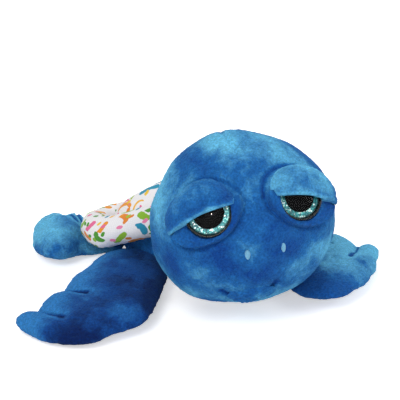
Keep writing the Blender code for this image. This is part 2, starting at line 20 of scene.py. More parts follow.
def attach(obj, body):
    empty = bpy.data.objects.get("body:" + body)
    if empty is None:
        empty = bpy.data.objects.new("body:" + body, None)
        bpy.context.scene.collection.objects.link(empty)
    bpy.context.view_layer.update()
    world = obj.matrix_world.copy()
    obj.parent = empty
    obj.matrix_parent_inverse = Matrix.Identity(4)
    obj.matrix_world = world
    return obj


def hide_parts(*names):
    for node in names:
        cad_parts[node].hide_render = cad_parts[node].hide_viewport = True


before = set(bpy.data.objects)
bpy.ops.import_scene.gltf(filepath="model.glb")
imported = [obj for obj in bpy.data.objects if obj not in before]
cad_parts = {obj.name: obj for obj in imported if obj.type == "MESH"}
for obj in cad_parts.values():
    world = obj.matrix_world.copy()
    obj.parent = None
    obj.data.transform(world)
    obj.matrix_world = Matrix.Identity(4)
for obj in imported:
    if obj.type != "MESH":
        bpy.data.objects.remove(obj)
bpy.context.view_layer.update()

LOG = logging.getLogger("turtle")

Array = np.ndarray
Colour = tuple[float, float, float, float]
Carving = Callable[[Array, Array], Array]
Path = Sequence[Sequence[float]]
Paths = Sequence[Path]

PLAN = np.array([1, 1, 0])  # keeps a point's place seen from above


class Side(Enum):
    """The turtle's own two sides."""

    RIGHT = -1
    LEFT = 1

    @property
    def word(self) -> str:
        """The side's name within a piece's name."""
        return self.name.lower()


class Slot(Enum):
    """The record's material slots."""

    PLUSH = "blue_plush"
    PRINT = "printed_cloth"
    FIBRE = "fibre"
    PELLETS = "pellets"
    BLACK = "black_plastic"
    GLITTER = "teal_glitter"
    CLEAR = "clear_plastic"
    STITCH = "stitching"


def linear(code: str) -> Colour:
    """A colour written as six hex digits, as linear values.

    Args:
        code: the digits.

    Returns:
        The colour, opaque.
    """
    parts = [int(code[i : i + 2], 16) / 255 for i in (0, 2, 4)]
    bent = [c / 12.92 if c <= 0.04045 else ((c + 0.055) / 1.055) ** 2.4 for c in parts]
    return (bent[0], bent[1], bent[2], 1.0)


# Shader nodes


class Board:
    """A node tree on which nodes are placed and wired."""

    def __init__(self, tree: NodeTree) -> None:
        """Takes the tree and keeps count of its nodes."""
        self.tree = tree
        self.count = 0

    def put(self, kind: str, values: Optional[dict] = None, **settings: Any) -> Node:
        """Adds a node.

        Args:
            kind: the node's type without its ShaderNode prefix.
            values: what goes into its inputs, by name or place: a number, or a socket to wire in.
            settings: the node's own properties.

        Returns:
            The new node.
        """
        node = self.tree.nodes.new("ShaderNode" + kind)
        node.location = (220 * (self.count % 9), -260 * (self.count // 9))
        self.count += 1
        for name, value in settings.items():
            setattr(node, name, value)
        for key, value in (values or {}).items():
            self.feed(node.inputs[key], value)
        return node

    def feed(self, socket: NodeSocket, value: Any) -> None:
        """Wires a value into an input, or writes it there if it is a constant.

        Args:
            socket: the input.
            value: a number, a colour, or the socket that it comes from.
        """
        if isinstance(value, NodeSocket):
            self.tree.links.new(value, socket)
        else:
            socket.default_value = value

    def math(self, operation: str, *values: Any, clamp: bool = False) -> NodeSocket:
        """The result of one sum on numbers or sockets."""
        node = self.put("Math", dict(enumerate(values)), operation=operation, use_clamp=clamp)
        return node.outputs[0]

    def vector(self, operation: str, *values: Any) -> NodeSocket:
        """The result of one sum on vectors; lengths and dot products come out as numbers."""
        node = self.put("VectorMath", dict(enumerate(values)), operation=operation)
        return node.outputs["Value" if operation in ("LENGTH", "DOT_PRODUCT") else "Vector"]

    def span(self, value: Any, low: float, high: float, to: Sequence[float] = (0, 1)) -> NodeSocket:
        """A value's place between low and high, smoothly, as a number within to."""
        places = {"Value": value, "From Min": low, "From Max": high, "To Min": to[0], "To Max": to[1]}
        return self.put("MapRange", places, interpolation_type="SMOOTHSTEP").outputs["Result"]

    def blend(self, share: Any, first: Any, second: Any, how: str = "MIX") -> NodeSocket:
        """Two colours mixed by a share.

        Args:
            share: how much of the second.
            first: a colour.
            second: another.
            how: the way they mix.

        Returns:
            The mixed colour.
        """
        node = self.put("Mix", data_type="RGBA", blend_type=how)
        for place, value in ((0, share), (6, first), (7, second)):
            self.feed(node.inputs[place], value)
        return node.outputs[2]

    def ramp(self, share: Any, stops: Sequence[tuple[float, str]], how: str = "LINEAR") -> NodeSocket:
        """A colour from stops along a share.

        Args:
            share: where along.
            stops: shares and their colours.
            how: how it goes from stop to stop.

        Returns:
            The colour.
        """
        node = self.put("ValToRGB", {"Fac": share})
        band = node.color_ramp
        band.interpolation = how
        while len(band.elements) < len(stops):
            band.elements.new(1.0)
        for element, (place, code) in zip(band.elements, stops):
            element.position = place
            element.color = linear(code)
        return node.outputs["Color"]

    def noise(
        self, place: Any, scale: Any, detail: float = 2.0, roughness: float = 0.5, twist: float = 0.0
    ) -> Any:
        """Smooth noise, as its node's outputs.

        Args:
            place: the coordinates.
            scale: patches to the metre.
            detail: how many finer layers it has.
            roughness: how much each of them counts.
            twist: how far it is distorted.

        Returns:
            The outputs, by name.
        """
        values = {"Vector": place, "Scale": scale, "Detail": detail, "Roughness": roughness, "Distortion": twist}
        return self.put("TexNoise", values).outputs

    def shaded(self, colour: Any, shade: Any) -> NodeSocket:
        """A colour multiplied by a number."""
        grey = self.put("CombineColor", {0: shade, 1: shade, 2: shade}).outputs[0]
        return self.blend(1.0, colour, grey, "MULTIPLY")

    def fill(self, node: Node, **values: Any) -> Node:
        """Feeds a node's inputs, by their names in lower case with low lines.

        Args:
            node: the node.
            values: numbers, colours or sockets.

        Returns:
            The node.
        """
        for socket in node.inputs:
            key = socket.name.lower().replace(" ", "_")
            if key in values:
                self.feed(socket, values[key])
        return node

    def group(self, tree: NodeTree, **values: Any) -> Any:
        """Places an effect, its inputs set by name, and gives its outputs."""
        return self.fill(self.put("Group", node_tree=tree), **values).outputs


class Effects:
    """The effects that several finishes share, each built once."""

    @staticmethod
    def start(name: str, takes: dict[str, float], gives: Sequence[str]) -> tuple[Board, Any]:
        """Opens a new effect.

        Args:
            name: the effect's name.
            takes: its number inputs and their usual values; every effect also takes a Vector.
            gives: its number outputs.

        Returns:
            The effect's board, and its inputs by name.
        """
        tree = bpy.data.node_groups.new(name, "ShaderNodeTree")
        tree.interface.new_socket("Vector", in_out="INPUT", socket_type="NodeSocketVector")
        for word, usual in takes.items():
            socket = tree.interface.new_socket(word, in_out="INPUT", socket_type="NodeSocketFloat")
            socket.default_value = usual
        for word in gives:
            tree.interface.new_socket(word, in_out="OUTPUT", socket_type="NodeSocketFloat")
        return Board(tree), tree.nodes.new("NodeGroupInput").outputs

    @staticmethod
    def close(board: Board, **results: Any) -> NodeTree:
        """Wires an effect's results to its outputs, by their names in lower case.

        Args:
            board: the effect's board.
            results: the sockets to give out.

        Returns:
            The effect's tree.
        """
        board.fill(board.tree.nodes.new("NodeGroupOutput"), **results)
        return board.tree

    @classmethod
    @cache
    def pile(cls) -> NodeTree:
        """Short plush pile: which way it lies in patches, the painted light and shade kept in the nap attribute,
        its single tufts, and its height.

        Returns:
            The effect's tree.
        """
        usual = {"Patches": 55.0, "Tufts": 900.0, "Stroked": 0.3}
        board, given = cls.start("plush pile", usual, ("Nap", "Tuft", "Height"))
        # The nap attribute holds each piece's painted light and shade along with the pile's lie.
        stroke = board.put("Attribute", attribute_name="nap").outputs["Fac"]
        drift = board.noise(given["Vector"], 140.0)
        shaken = board.vector("MULTIPLY_ADD", drift["Color"], (0.010, 0.010, 0.010), given["Vector"])
        broad = board.noise(shaken, given["Patches"], 3.0, 0.55)
        small = board.noise(shaken, 230.0, 3.0, 0.6)
        tufts = board.noise(given["Vector"], given["Tufts"], 4.0, 0.7)
        waves = board.span(broad["Fac"], 0.30, 0.70)
        speckle = board.math("MULTIPLY_ADD", small["Fac"], 0.32, -0.16)
        patched = board.math("MULTIPLY_ADD", waves, 0.60, 0.18)
        stroked = board.math("MULTIPLY", stroke, given["Stroked"])
        nap = board.math("ADD", board.math("ADD", patched, speckle), stroked, clamp=True)
        tuft = board.span(tufts["Fac"], 0.30, 0.70)
        height = board.math("ADD", board.math("MULTIPLY", tuft, 0.6), board.math("MULTIPLY", small["Fac"], 0.9))
        return cls.close(board, nap=nap, tuft=tuft, height=height)

    @classmethod
    @cache
    def weave(cls) -> NodeTree:
        """Fine woven or knitted threads that cross.

        Returns:
            The effect's tree.
        """
        board, given = cls.start("fine weave", {"Threads": 1500.0}, ("Thread", "Height"))
        drift = board.noise(given["Vector"], 90.0)
        shaken = board.vector("MULTIPLY_ADD", drift["Color"], (0.004, 0.004, 0.004), given["Vector"])
        waves = {"Vector": shaken, "Scale": given["Threads"], "Distortion": 0.6}
        across = board.put("TexWave", waves, bands_direction="X")
        along = board.put("TexWave", waves, bands_direction="DIAGONAL")
        thread = board.math("MULTIPLY", across.outputs["Fac"], along.outputs["Fac"])
        grain = board.noise(given["Vector"], 2200.0)
        height = board.math("ADD", thread, board.math("MULTIPLY", grain["Fac"], 0.8))
        return cls.close(board, thread=thread, height=height)

    @classmethod
    @cache
    def marks(cls) -> NodeTree:
        """Brushed strokes and dots on flat cloth, scattered one to a cell at any slant, some of them curved.

        Returns:
            The effect's tree.
        """
        usual = {"Cells": 120.0, "Length": 0.25, "Width": 0.15, "Bend": 0.5, "Ragged": 0.06}
        board, given = cls.start("scattered marks", usual, ("Mark", "Pick"))
        scaled = board.put(
            "VectorMath", {0: given["Vector"], "Scale": given["Cells"]}, operation="SCALE"
        ).outputs[0]
        cells = board.put(
            "TexVoronoi", {"Vector": scaled, "Scale": 1.0, "Randomness": 0.80}, voronoi_dimensions="2D"
        )
        away = board.put("SeparateXYZ", {0: board.vector("SUBTRACT", scaled, cells.outputs["Position"])}).outputs
        chance = board.put("SeparateColor", {0: cells.outputs["Color"]}).outputs
        slant = board.math("MULTIPLY", chance["Red"], 2 * math.pi)
        c, s = board.math("COSINE", slant), board.math("SINE", slant)
        along = board.math("ADD", board.math("MULTIPLY", away["X"], c), board.math("MULTIPLY", away["Y"], s))
        products = board.math("MULTIPLY", away["Y"], c), board.math("MULTIPLY", away["X"], s)
        across = board.math("SUBTRACT", *products)
        bend = board.math("MULTIPLY", board.math("MULTIPLY_ADD", chance["Blue"], 4.0, -2.0), given["Bend"])
        across = board.math("ADD", across, board.math("MULTIPLY", board.math("MULTIPLY", along, along), bend))
        shortest = board.math("MULTIPLY", given["Length"], -1.0)
        held = board.math("MINIMUM", board.math("MAXIMUM", along, shortest), given["Length"])
        past = board.math("SUBTRACT", along, held)
        squares = [board.math("MULTIPLY", value, value) for value in (past, across)]
        reach = board.math("SQRT", board.math("ADD", *squares))
        brush = board.noise(scaled, 5.0)
        ragged = board.math("MULTIPLY", board.math("SUBTRACT", brush["Fac"], 0.5), given["Ragged"])
        edge = board.math("ADD", reach, ragged)
        mark = board.span(board.math("SUBTRACT", given["Width"], edge), -0.012, 0.012)
        return cls.close(board, mark=mark, pick=chance["Green"])

    @classmethod
    @cache
    def handling(cls) -> NodeTree:
        """The faint wear and mould texture of small plastic parts.

        Returns:
            The effect's tree.
        """
        board, given = cls.start("handled plastic", {"Scale": 600.0}, ("Wear", "Height"))
        fine = board.noise(given["Vector"], given["Scale"], 3.0)
        wide = board.noise(given["Vector"], 120.0)
        wear = board.span(wide["Fac"], 0.35, 0.65)
        return cls.close(board, wear=wear, height=fine["Fac"])


def new_material(name: str) -> tuple[Material, Board, Node]:
    """A material with its board and its Principled shader.

    Args:
        name: the material's name.

    Returns:
        All three.
    """
    material = bpy.data.materials.new(name)
    material.use_nodes = True
    return material, Board(material.node_tree), material.node_tree.nodes["Principled BSDF"]


def place_of(board: Board) -> NodeSocket:
    """The coordinates in which every finish is patterned."""
    return board.put("TexCoord").outputs["Object"]


def raise_relief(board: Board, shader: Node, height: Any, depth: float, strength: float = 1.0) -> None:
    """Gives a shader relief of a depth in metres."""
    bump = board.put("Bump", {"Height": height, "Distance": depth, "Strength": strength})
    board.fill(shader, normal=bump.outputs["Normal"])


@dataclass(frozen=True)
class Plush:
    """Short dyed pile that changes tone with the way it lies, and with the painted light and shade kept in each
    piece's nap attribute.
    """

    name: str
    deep: str = "0F4898"
    middle: str = "226CB4"
    light: str = "6AC4EE"
    bias: float = 0.0
    patches: float = 38.0
    stroked: float = 0.40
    relief: float = 0.0006
    sheen: float = 0.25
    sheen_tone: str = "6CC0F4"

    def make(self) -> Material:
        """Builds the material.

        Returns:
            The material.
        """
        material, board, shader = new_material(self.name)
        pile = board.group(
            Effects.pile(), vector=place_of(board), patches=self.patches, tufts=950.0, stroked=self.stroked
        )
        nap = board.math("ADD", pile["Nap"], self.bias, clamp=True)
        base = board.ramp(nap, ((0.08, self.deep), (0.48, self.middle), (0.95, self.light)))
        shade = board.span(pile["Tuft"], 0.0, 1.0, (0.72, 1.16))
        board.fill(shader, base_color=board.shaded(base, shade), roughness=0.9, specular_ior_level=0.12)
        board.fill(shader, sheen_weight=self.sheen, sheen_roughness=0.25, sheen_tint=linear(self.sheen_tone))
        raise_relief(board, shader, pile["Height"], self.relief)
        return material


@dataclass(frozen=True)
class Marks:
    """One layer of printed marks: cells to the metre, and the marks' sizes as shares of a cell."""

    cells: float
    length: float
    width: float
    bend: float
    ragged: float
    shift: tuple[float, float]


@dataclass(frozen=True)
class PrintedCloth:
    """White short-napped cloth with brushed strokes and dots of several colours."""

    name: str
    layers: tuple[Marks, ...]
    ground: str = "F4F2F4"
    inks: tuple[str, ...] = (
        "EE9A2A", "8CBB3A", "EB6E9C", "F2B93A", "2F96B8", "4F9A34", "E88A3A", "F5CB3C", "A4C63C", "F08AB0"
    )

    def make(self) -> Material:
        """Builds the material.

        Returns:
            The material.
        """
        material, board, shader = new_material(self.name)
        place = place_of(board)
        flat = board.put("Attribute", attribute_name="cloth").outputs["Vector"]
        colour: Any = linear(self.ground)
        share = 1.0 / len(self.inks)
        for layer in self.layers:
            sizes = {"cells": layer.cells, "length": layer.length, "width": layer.width, "bend": layer.bend}
            shifted = board.vector("ADD", flat, (*layer.shift, 0.0))
            marks = board.group(Effects.marks(), vector=shifted, ragged=layer.ragged, **sizes)
            ink = board.ramp(marks["Pick"], [(share * i, ink) for i, ink in enumerate(self.inks)], "CONSTANT")
            colour = board.blend(marks["Mark"], colour, ink)
        weave = board.group(Effects.weave(), vector=place, threads=420.0)
        shade = board.span(weave["Thread"], 0.0, 1.0, (0.91, 1.0))
        base = board.shaded(colour, shade)
        board.fill(shader, base_color=base, roughness=0.85, specular_ior_level=0.15, sheen_weight=0.15)
        raise_relief(board, shader, weave["Height"], 0.00012)
        return material


@dataclass(frozen=True)
class Fibre:
    """Loose white filling or the thin cloth of the pellet bag."""

    name: str
    tone: str = "F1F0EA"
    shadow: str = "CFCDC4"
    scale: float = 350.0

    def make(self) -> Material:
        """Builds the material.

        Returns:
            The material.
        """
        material, board, shader = new_material(self.name)
        place = place_of(board)
        strands = board.noise(place, self.scale, 6.0, 0.7, 1.5)
        base = board.ramp(strands["Fac"], ((0.3, self.shadow), (0.6, self.tone)))
        board.fill(shader, base_color=base, roughness=1.0)
        raise_relief(board, shader, strands["Fac"], 0.001)
        return material


@dataclass(frozen=True)
class Plastic:
    """Moulded plastic with a little handling in its gloss."""

    name: str
    tone: str = "050507"
    worn: str = "0C0C10"
    gloss: tuple[float, float] = (0.22, 0.32)
    shine: float = 0.5

    def make(self) -> Material:
        """Builds the material.

        Returns:
            The material.
        """
        material, board, shader = new_material(self.name)
        handling = board.group(Effects.handling(), vector=place_of(board), scale=900.0)
        wear = handling["Wear"]
        base = board.ramp(wear, ((0.0, self.tone), (1.0, self.worn)))
        rough = board.span(wear, 0.0, 1.0, self.gloss)
        board.fill(shader, base_color=base, roughness=rough, specular_ior_level=self.shine)
        raise_relief(board, shader, handling["Height"], 0.00002)
        return material


@dataclass(frozen=True)
class Glitter:
    """Fine teal flakes in clear lacquer, darker towards the iris's edge."""

    name: str
    flakes_per_metre: float = 1500.0
    tones: tuple = ((0.00, "0E5A60"), (0.30, "1B7C84"), (0.58, "3AA6A6"), (0.78, "8FDCD2"), (0.90, "F4FFFC"))
    edge_tone: str = "06252B"

    def make(self) -> Material:
        """Builds the material.

        Returns:
            The material.
        """
        material, board, shader = new_material(self.name)
        place = place_of(board)
        flakes = board.put("TexVoronoi", {"Vector": place, "Scale": self.flakes_per_metre})
        pick = board.put("SeparateColor", {0: flakes.outputs["Color"]})
        tone = board.ramp(pick.outputs["Red"], self.tones, "CONSTANT")
        edge = board.put("Attribute", attribute_name="rim").outputs["Fac"]
        dark = board.span(edge, 0.55, 1.0, (0.0, 0.92))
        base = board.blend(dark, tone, linear(self.edge_tone))
        metal = board.span(pick.outputs["Red"], 0.5, 1.0, (0.10, 0.45))
        board.fill(shader, base_color=base, metallic=metal, roughness=0.34)
        raise_relief(board, shader, pick.outputs["Blue"], 0.0003, 0.7)
        return material


@dataclass(frozen=True)
class ClearPlastic:
    """The eye's clear dome: what lies behind shows through, and lamps and room lie on it."""

    name: str
    index: float = 1.17

    def make(self) -> Material:
        """Builds the material.

        Returns:
            The material.
        """
        material, board, shader = new_material(self.name)
        handling = board.group(Effects.handling(), vector=place_of(board), scale=500.0)
        rough = board.span(handling["Wear"], 0.0, 1.0, (0.015, 0.04))
        board.fill(shader, base_color=(1.0, 1.0, 1.0, 1.0), metallic=1.0, roughness=rough)
        through = board.put("BsdfTransparent", {"Color": (0.97, 0.99, 0.99, 1.0)})
        facing = board.put("Fresnel", {"IOR": self.index})
        inside = board.put("NewGeometry").outputs["Backfacing"]
        mirrored = board.math("MULTIPLY", facing.outputs[0], board.math("SUBTRACT", 1.0, inside))
        mixed = board.put("MixShader", {0: mirrored, 1: through.outputs[0], 2: shader.outputs[0]})
        board.fill(material.node_tree.nodes["Material Output"], surface=mixed.outputs[0])
        return material


@dataclass(frozen=True)
class Thread:
    """Glossy pale embroidery thread."""

    name: str
    tone: str = "96D0E6"
    shadow: str = "4F98C4"

    def make(self) -> Material:
        """Builds the material.

        Returns:
            The material.
        """
        material, board, shader = new_material(self.name)
        weave = board.group(Effects.weave(), vector=place_of(board), threads=900.0)
        base = board.ramp(weave["Thread"], ((0.0, self.shadow), (0.5, self.tone)))
        board.fill(shader, base_color=base, roughness=0.45, sheen_weight=0.2)
        raise_relief(board, shader, weave["Height"], 0.0001)
        return material


# Meshes


class Lumps:
    """Smooth seeded unevenness in space, about one either way."""

    def __init__(self, seed: int, wavelength: float, waves: int = 40) -> None:
        """Draws the waves whose sum is the unevenness.

        Args:
            seed: where the draws start.
            wavelength: the waves' usual length.
            waves: how many there are.
        """
        draw = np.random.default_rng(seed)
        ways = draw.normal(size=(waves, 3))
        ways /= np.linalg.norm(ways, axis=1)[:, None]
        self.ways = ways * (2 * math.pi / wavelength) * draw.uniform(0.6, 1.4, (waves, 1))
        self.starts = draw.uniform(0, 2 * math.pi, waves)
        self.share = math.sqrt(2 / waves)

    def at(self, points: Array) -> Array:
        """The unevenness at each point."""
        return np.cos(points @ self.ways.T + self.starts).sum(1) * self.share


def points_of(mesh: Mesh) -> Array:
    """A mesh's corner points, one a row.

    Args:
        mesh: the mesh.

    Returns:
        Its corner points.
    """
    flat = np.empty(len(mesh.vertices) * 3)
    mesh.vertices.foreach_get("co", flat)
    return flat.reshape(-1, 3)


def normals_of(mesh: Mesh) -> Array:
    """The outward way at each corner point.

    Args:
        mesh: the mesh.

    Returns:
        Unit vectors, one a row.
    """
    flat = np.empty(len(mesh.vertices) * 3, np.float32)
    mesh.vertex_normals.foreach_get("vector", flat)
    return flat.reshape(-1, 3).astype(float)


def set_points(mesh: Mesh, points: Array) -> None:
    """Moves a mesh's corner points."""
    mesh.vertices.foreach_set("co", points.astype(np.float32).ravel())
    mesh.update()


def moved(points: Array, matrix: Matrix) -> Array:
    """Points carried by a matrix."""
    m = np.array(matrix)
    return points @ m[:3, :3].T + m[:3, 3]


def rows_mesh(name: str, rows: Array, ring: bool = False) -> Mesh:
    """A mesh through closed rows of points.

    Args:
        name: the mesh's name.
        rows: points, row by row.
        ring: join the last row to the first, where otherwise a face closes each of the two.

    Returns:
        The mesh, its faces looking outwards.
    """
    count, width, _ = rows.shape
    index = np.arange(count * width).reshape(count, width)
    lower = index if ring else index[:-1]
    upper = np.roll(index, -1, axis=0) if ring else index[1:]
    right = np.roll(lower, -1, axis=1), np.roll(upper, -1, axis=1)
    faces = np.stack([lower, right[0], right[1], upper], axis=-1).reshape(-1, 4).tolist()
    if not ring:
        faces += [index[0][::-1].tolist(), index[-1].tolist()]
    mesh = bpy.data.meshes.new(name)
    mesh.from_pydata(rows.reshape(-1, 3).tolist(), [], faces)
    work = bmesh.new()
    work.from_mesh(mesh)
    bmesh.ops.recalc_face_normals(work, faces=work.faces)
    if work.calc_volume(signed=True) < 0:
        bmesh.ops.reverse_faces(work, faces=work.faces)
    work.to_mesh(mesh)
    work.free()
    return mesh


def rounded_mesh(mesh: Mesh, levels: int) -> Mesh:
    """A mesh with its faces subdivided and rounded.

    Args:
        mesh: the mesh, left as it is.
        levels: how often it is subdivided.

    Returns:
        The rounded mesh.
    """
    item = bpy.data.objects.new("rounding", mesh)
    bpy.context.scene.collection.objects.link(item)
    rounding = item.modifiers.new("round", "SUBSURF")
    rounding.levels = levels
    made = evaluated_mesh(item)
    bpy.data.objects.remove(item)
    return made


def evaluated_mesh(item: Object) -> Mesh:
    """A new mesh that holds what an object's modifiers make of it.

    Args:
        item: the object.

    Returns:
        The new mesh.
    """
    bpy.context.view_layer.update()
    graph = bpy.context.evaluated_depsgraph_get()
    return bpy.data.meshes.new_from_object(item.evaluated_get(graph))


def to_path(points: Array, path: Path) -> tuple[Array, Array]:
    """How far points are from a path.

    Args:
        points: the points, one a row.
        path: the path's corners.

    Returns:
        Each point's distance, and how far along the path its nearest place is, in metres.
    """
    corners = np.array(path, float)
    best = np.full(len(points), 1e9)
    along = np.zeros(len(points))
    gone = 0.0
    for a, b in zip(corners, corners[1:]):
        way = b - a
        length = float(np.linalg.norm(way))
        share = np.clip((points - a) @ way / length**2, 0, 1)
        away = np.linalg.norm(points - (a + share[:, None] * way), axis=1)
        nearer = away < best
        best = np.where(nearer, away, best)
        along = np.where(nearer, gone + share * length, along)
        gone += length
    return best, along


def bell(distance: Array, width: float) -> Array:
    """A smooth fall from 1 at no distance, mostly gone at a width."""
    return np.exp(-((distance / width) ** 2))


def groove(
    points: Array, path: Path, depth: float, width: float, fade: float = 0.0, stitch: float = 0.0
) -> Array:
    """The offset of a sewn or pinched line.

    Args:
        points: where it is wanted.
        path: the line's corners.
        depth: how deep it is at its start.
        width: how far from its middle it has mostly gone.
        fade: the share of its depth lost towards its end.
        stitch: the distance between stitches that pull it down, or none.

    Returns:
        The offset at each point, below the surface.
    """
    away, along = to_path(points, path)
    total = max(float(along.max()), 1e-6)
    held = depth * (1 - fade * (along / total) ** 1.5)
    if stitch:
        held = held * (1 + 0.12 * np.cos(2 * math.pi * along / stitch))
    return -held * bell(away, width)


def carve(mesh: Mesh, carving: Carving) -> None:
    """Moves a mesh's points along their normals by what a carving says."""
    points, normals = points_of(mesh), normals_of(mesh)
    set_points(mesh, points + normals * carving(points, normals)[:, None])


def set_values(mesh: Mesh, name: str, values: Array) -> None:
    """Keeps one number for each corner point, for the finishes to read."""
    layer = mesh.attributes.new(name, "FLOAT", "POINT")
    layer.data.foreach_set("value", values.astype(np.float32))


def set_flat(mesh: Mesh, flat: Array) -> None:
    """Keeps each corner point's place on the flat cloth, in metres, for the print.

    Args:
        mesh: the mesh.
        flat: the places.
    """
    layer = mesh.attributes.new("cloth", "FLOAT_VECTOR", "POINT")
    full = np.concatenate([flat, np.zeros((len(flat), 1))], 1)
    layer.data.foreach_set("vector", full.astype(np.float32).ravel())


def rounded(angle: float, squareness: float) -> tuple[float, float]:
    """Cosine and sine of a superellipse.

    Args:
        angle: the angle.
        squareness: the power, 2 for an ellipse.

    Returns:
        Both.
    """
    c, s = math.cos(angle), math.sin(angle)
    power = 2 / squareness
    return math.copysign(abs(c) ** power, c), math.copysign(abs(s) ** power, s)


@dataclass(frozen=True)
class Puffing:
    """How a padded piece is blown up as cloth round its filling, at ten times its size."""

    cell: float = 0.0022
    pressure: float = 4.0
    cap: float = 0.0012
    enlarge: float = 10.0
    frames: int = 20
    stiffness: float = 12.0
    bending: float = 0.4
    least_held: float = 0.01

    def apply(self, mesh: Mesh, held: Callable[[Array], Array]) -> Mesh:
        """Blows a closed mesh up as cloth.

        Args:
            mesh: the closed mesh, in metres.
            held: gives how firmly each point is held, from 0 to 1, such as at a seam.

        Returns:
            A new mesh of even faces, puffed, in metres.
        """
        item = bpy.data.objects.new("puffing", mesh.copy())
        bpy.context.scene.collection.objects.link(item)
        item.data.transform(Matrix.Scale(self.enlarge, 4))
        even = item.modifiers.new("even", "REMESH")
        even.mode = "VOXEL"
        even.voxel_size = self.cell * self.enlarge
        item.data = evaluated_mesh(item)
        item.modifiers.clear()
        start = points_of(item.data)
        firm = item.vertex_groups.new(name="held")
        weights = held(start / self.enlarge)
        for index in np.nonzero(weights > self.least_held)[0]:
            firm.add([int(index)], float(weights[index]), "REPLACE")
        cloth = item.modifiers.new("cloth", "CLOTH")
        settings = cloth.settings
        settings.use_pressure = True
        settings.uniform_pressure_force = self.pressure
        settings.effector_weights.gravity = 0
        settings.vertex_group_mass = "held"
        settings.tension_stiffness = settings.compression_stiffness = self.stiffness
        settings.bending_stiffness = self.bending
        cloth.collision_settings.use_collision = False
        cloth.point_cache.frame_end = self.frames
        scene = bpy.context.scene
        for number in range(1, self.frames + 1):
            scene.frame_set(number)
        made = evaluated_mesh(item)
        way = points_of(made) - start
        length = np.linalg.norm(way, axis=1)
        most = self.cap * self.enlarge
        way *= np.minimum(1, most / np.maximum(length, 1e-9))[:, None]
        LOG.info("puffed %s: %d points, up to %.2f mm", mesh.name, len(start), length.max() / self.enlarge * 1000)
        set_points(made, (start + way) / self.enlarge)
        bpy.data.objects.remove(item)
        scene.frame_set(1)
        return made


@dataclass(frozen=True)
class Piece:
    """What one finished piece is called, wears, rides on and stands for."""

    name: str
    material: Material
    body: str
    slot: Slot
    nodes: tuple[str, ...] = ()
    fill: Optional[float] = None

    def place(self, mesh: Mesh) -> Object:
        """Links a mesh as this piece in its material, parents it to its body and hides the nodes it stands for.

        Args:
            mesh: its final mesh, in the frame's own place.

        Returns:
            The piece's object.
        """
        mesh.shade_smooth()
        mesh.materials.clear()
        mesh.materials.append(self.material)
        item = bpy.data.objects.new(self.name, mesh)
        bpy.context.scene.collection.objects.link(item)
        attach(item, self.body)
        if self.nodes:
            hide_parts(*self.nodes)
        LOG.info("placed %s on %s: %d faces", self.name, self.body, len(mesh.polygons))
        return item


# The turtle's parts


ROLL_MARKS = (
    Marks(cells=98.0, length=0.30, width=0.165, bend=0.5, ragged=0.12, shift=(0.013, 0.021)),
    Marks(cells=135.0, length=0.06, width=0.150, bend=0.0, ragged=0.06, shift=(0.071, 0.047)),
)
DOME_MARKS = (
    Marks(cells=86.0, length=0.44, width=0.090, bend=0.5, ragged=0.06, shift=(0.013, 0.021)),
    Marks(cells=112.0, length=0.42, width=0.055, bend=0.7, ragged=0.04, shift=(0.055, 0.037)),
    Marks(cells=150.0, length=0.10, width=0.130, bend=0.0, ragged=0.05, shift=(0.023, 0.061)),
)


@dataclass(frozen=True)
class Finishes:
    """Every finish of the toy, made once."""

    head: Material
    lid: Material
    near: Material
    limb: Material
    rear: Material
    body: Material
    roll_print: Material
    dome_print: Material
    fibre: Material
    bag: Material
    pellets: Material
    black: Material
    pupil: Material
    glitter: Material
    clear: Material
    thread: Material

    @classmethod
    def make(cls) -> "Finishes":
        """Builds them all.

        Returns:
            The finishes.
        """
        return cls(
            head=Plush("head plush").make(),
            lid=Plush("eyelid plush", bias=0.0, stroked=0.40).make(),
            near=Plush("shaded flipper plush", "06245E", "144A94", "3484CC", bias=-0.06, sheen=0.12).make(),
            limb=Plush("flipper plush", bias=0.22, stroked=0.44).make(),
            rear=Plush("rear flipper plush", bias=0.36, stroked=0.44).make(),
            body=Plush("belly plush", bias=-0.05).make(),
            roll_print=PrintedCloth("printed roll cloth", ROLL_MARKS).make(),
            dome_print=PrintedCloth("printed dome cloth", DOME_MARKS).make(),
            fibre=Fibre("polyester filling").make(),
            bag=Fibre("pellet bag cloth", tone="E4E0D6", shadow="C4BFB2", scale=1200.0).make(),
            pellets=Plastic("plastic pellets", tone="C9C8BE", worn="DAD9D0", gloss=(0.35, 0.5)).make(),
            black=Plastic("black plastic", tone="020203", worn="050507", shine=0.25).make(),
            pupil=Plastic("matt black plastic", "020203", "030304", gloss=(0.5, 0.6), shine=0.05).make(),
            glitter=Glitter("teal glitter").make(),
            clear=ClearPlastic("clear lens plastic").make(),
            thread=Thread("pale blue thread").make(),
        )


def plush_grain(seed: int, broad: float = 0.0004, fine: float = 0.00007) -> Carving:
    """The small unevenness of stuffed plush: soft lumps, and the tufts of its pile.

    Args:
        seed: where the draws start.
        broad: the lumps' height.
        fine: the tufts' height.

    Returns:
        The carving.
    """
    lumps, dents, tufts = Lumps(seed, 0.022), Lumps(seed + 1, 0.007), Lumps(seed + 2, 0.0024, 60)

    def carving(points: Array, normals: Array) -> Array:
        """The offset at each point."""
        return lumps.at(points) * broad + dents.at(points) * broad * 0.2 + tufts.at(points) * fine

    return carving


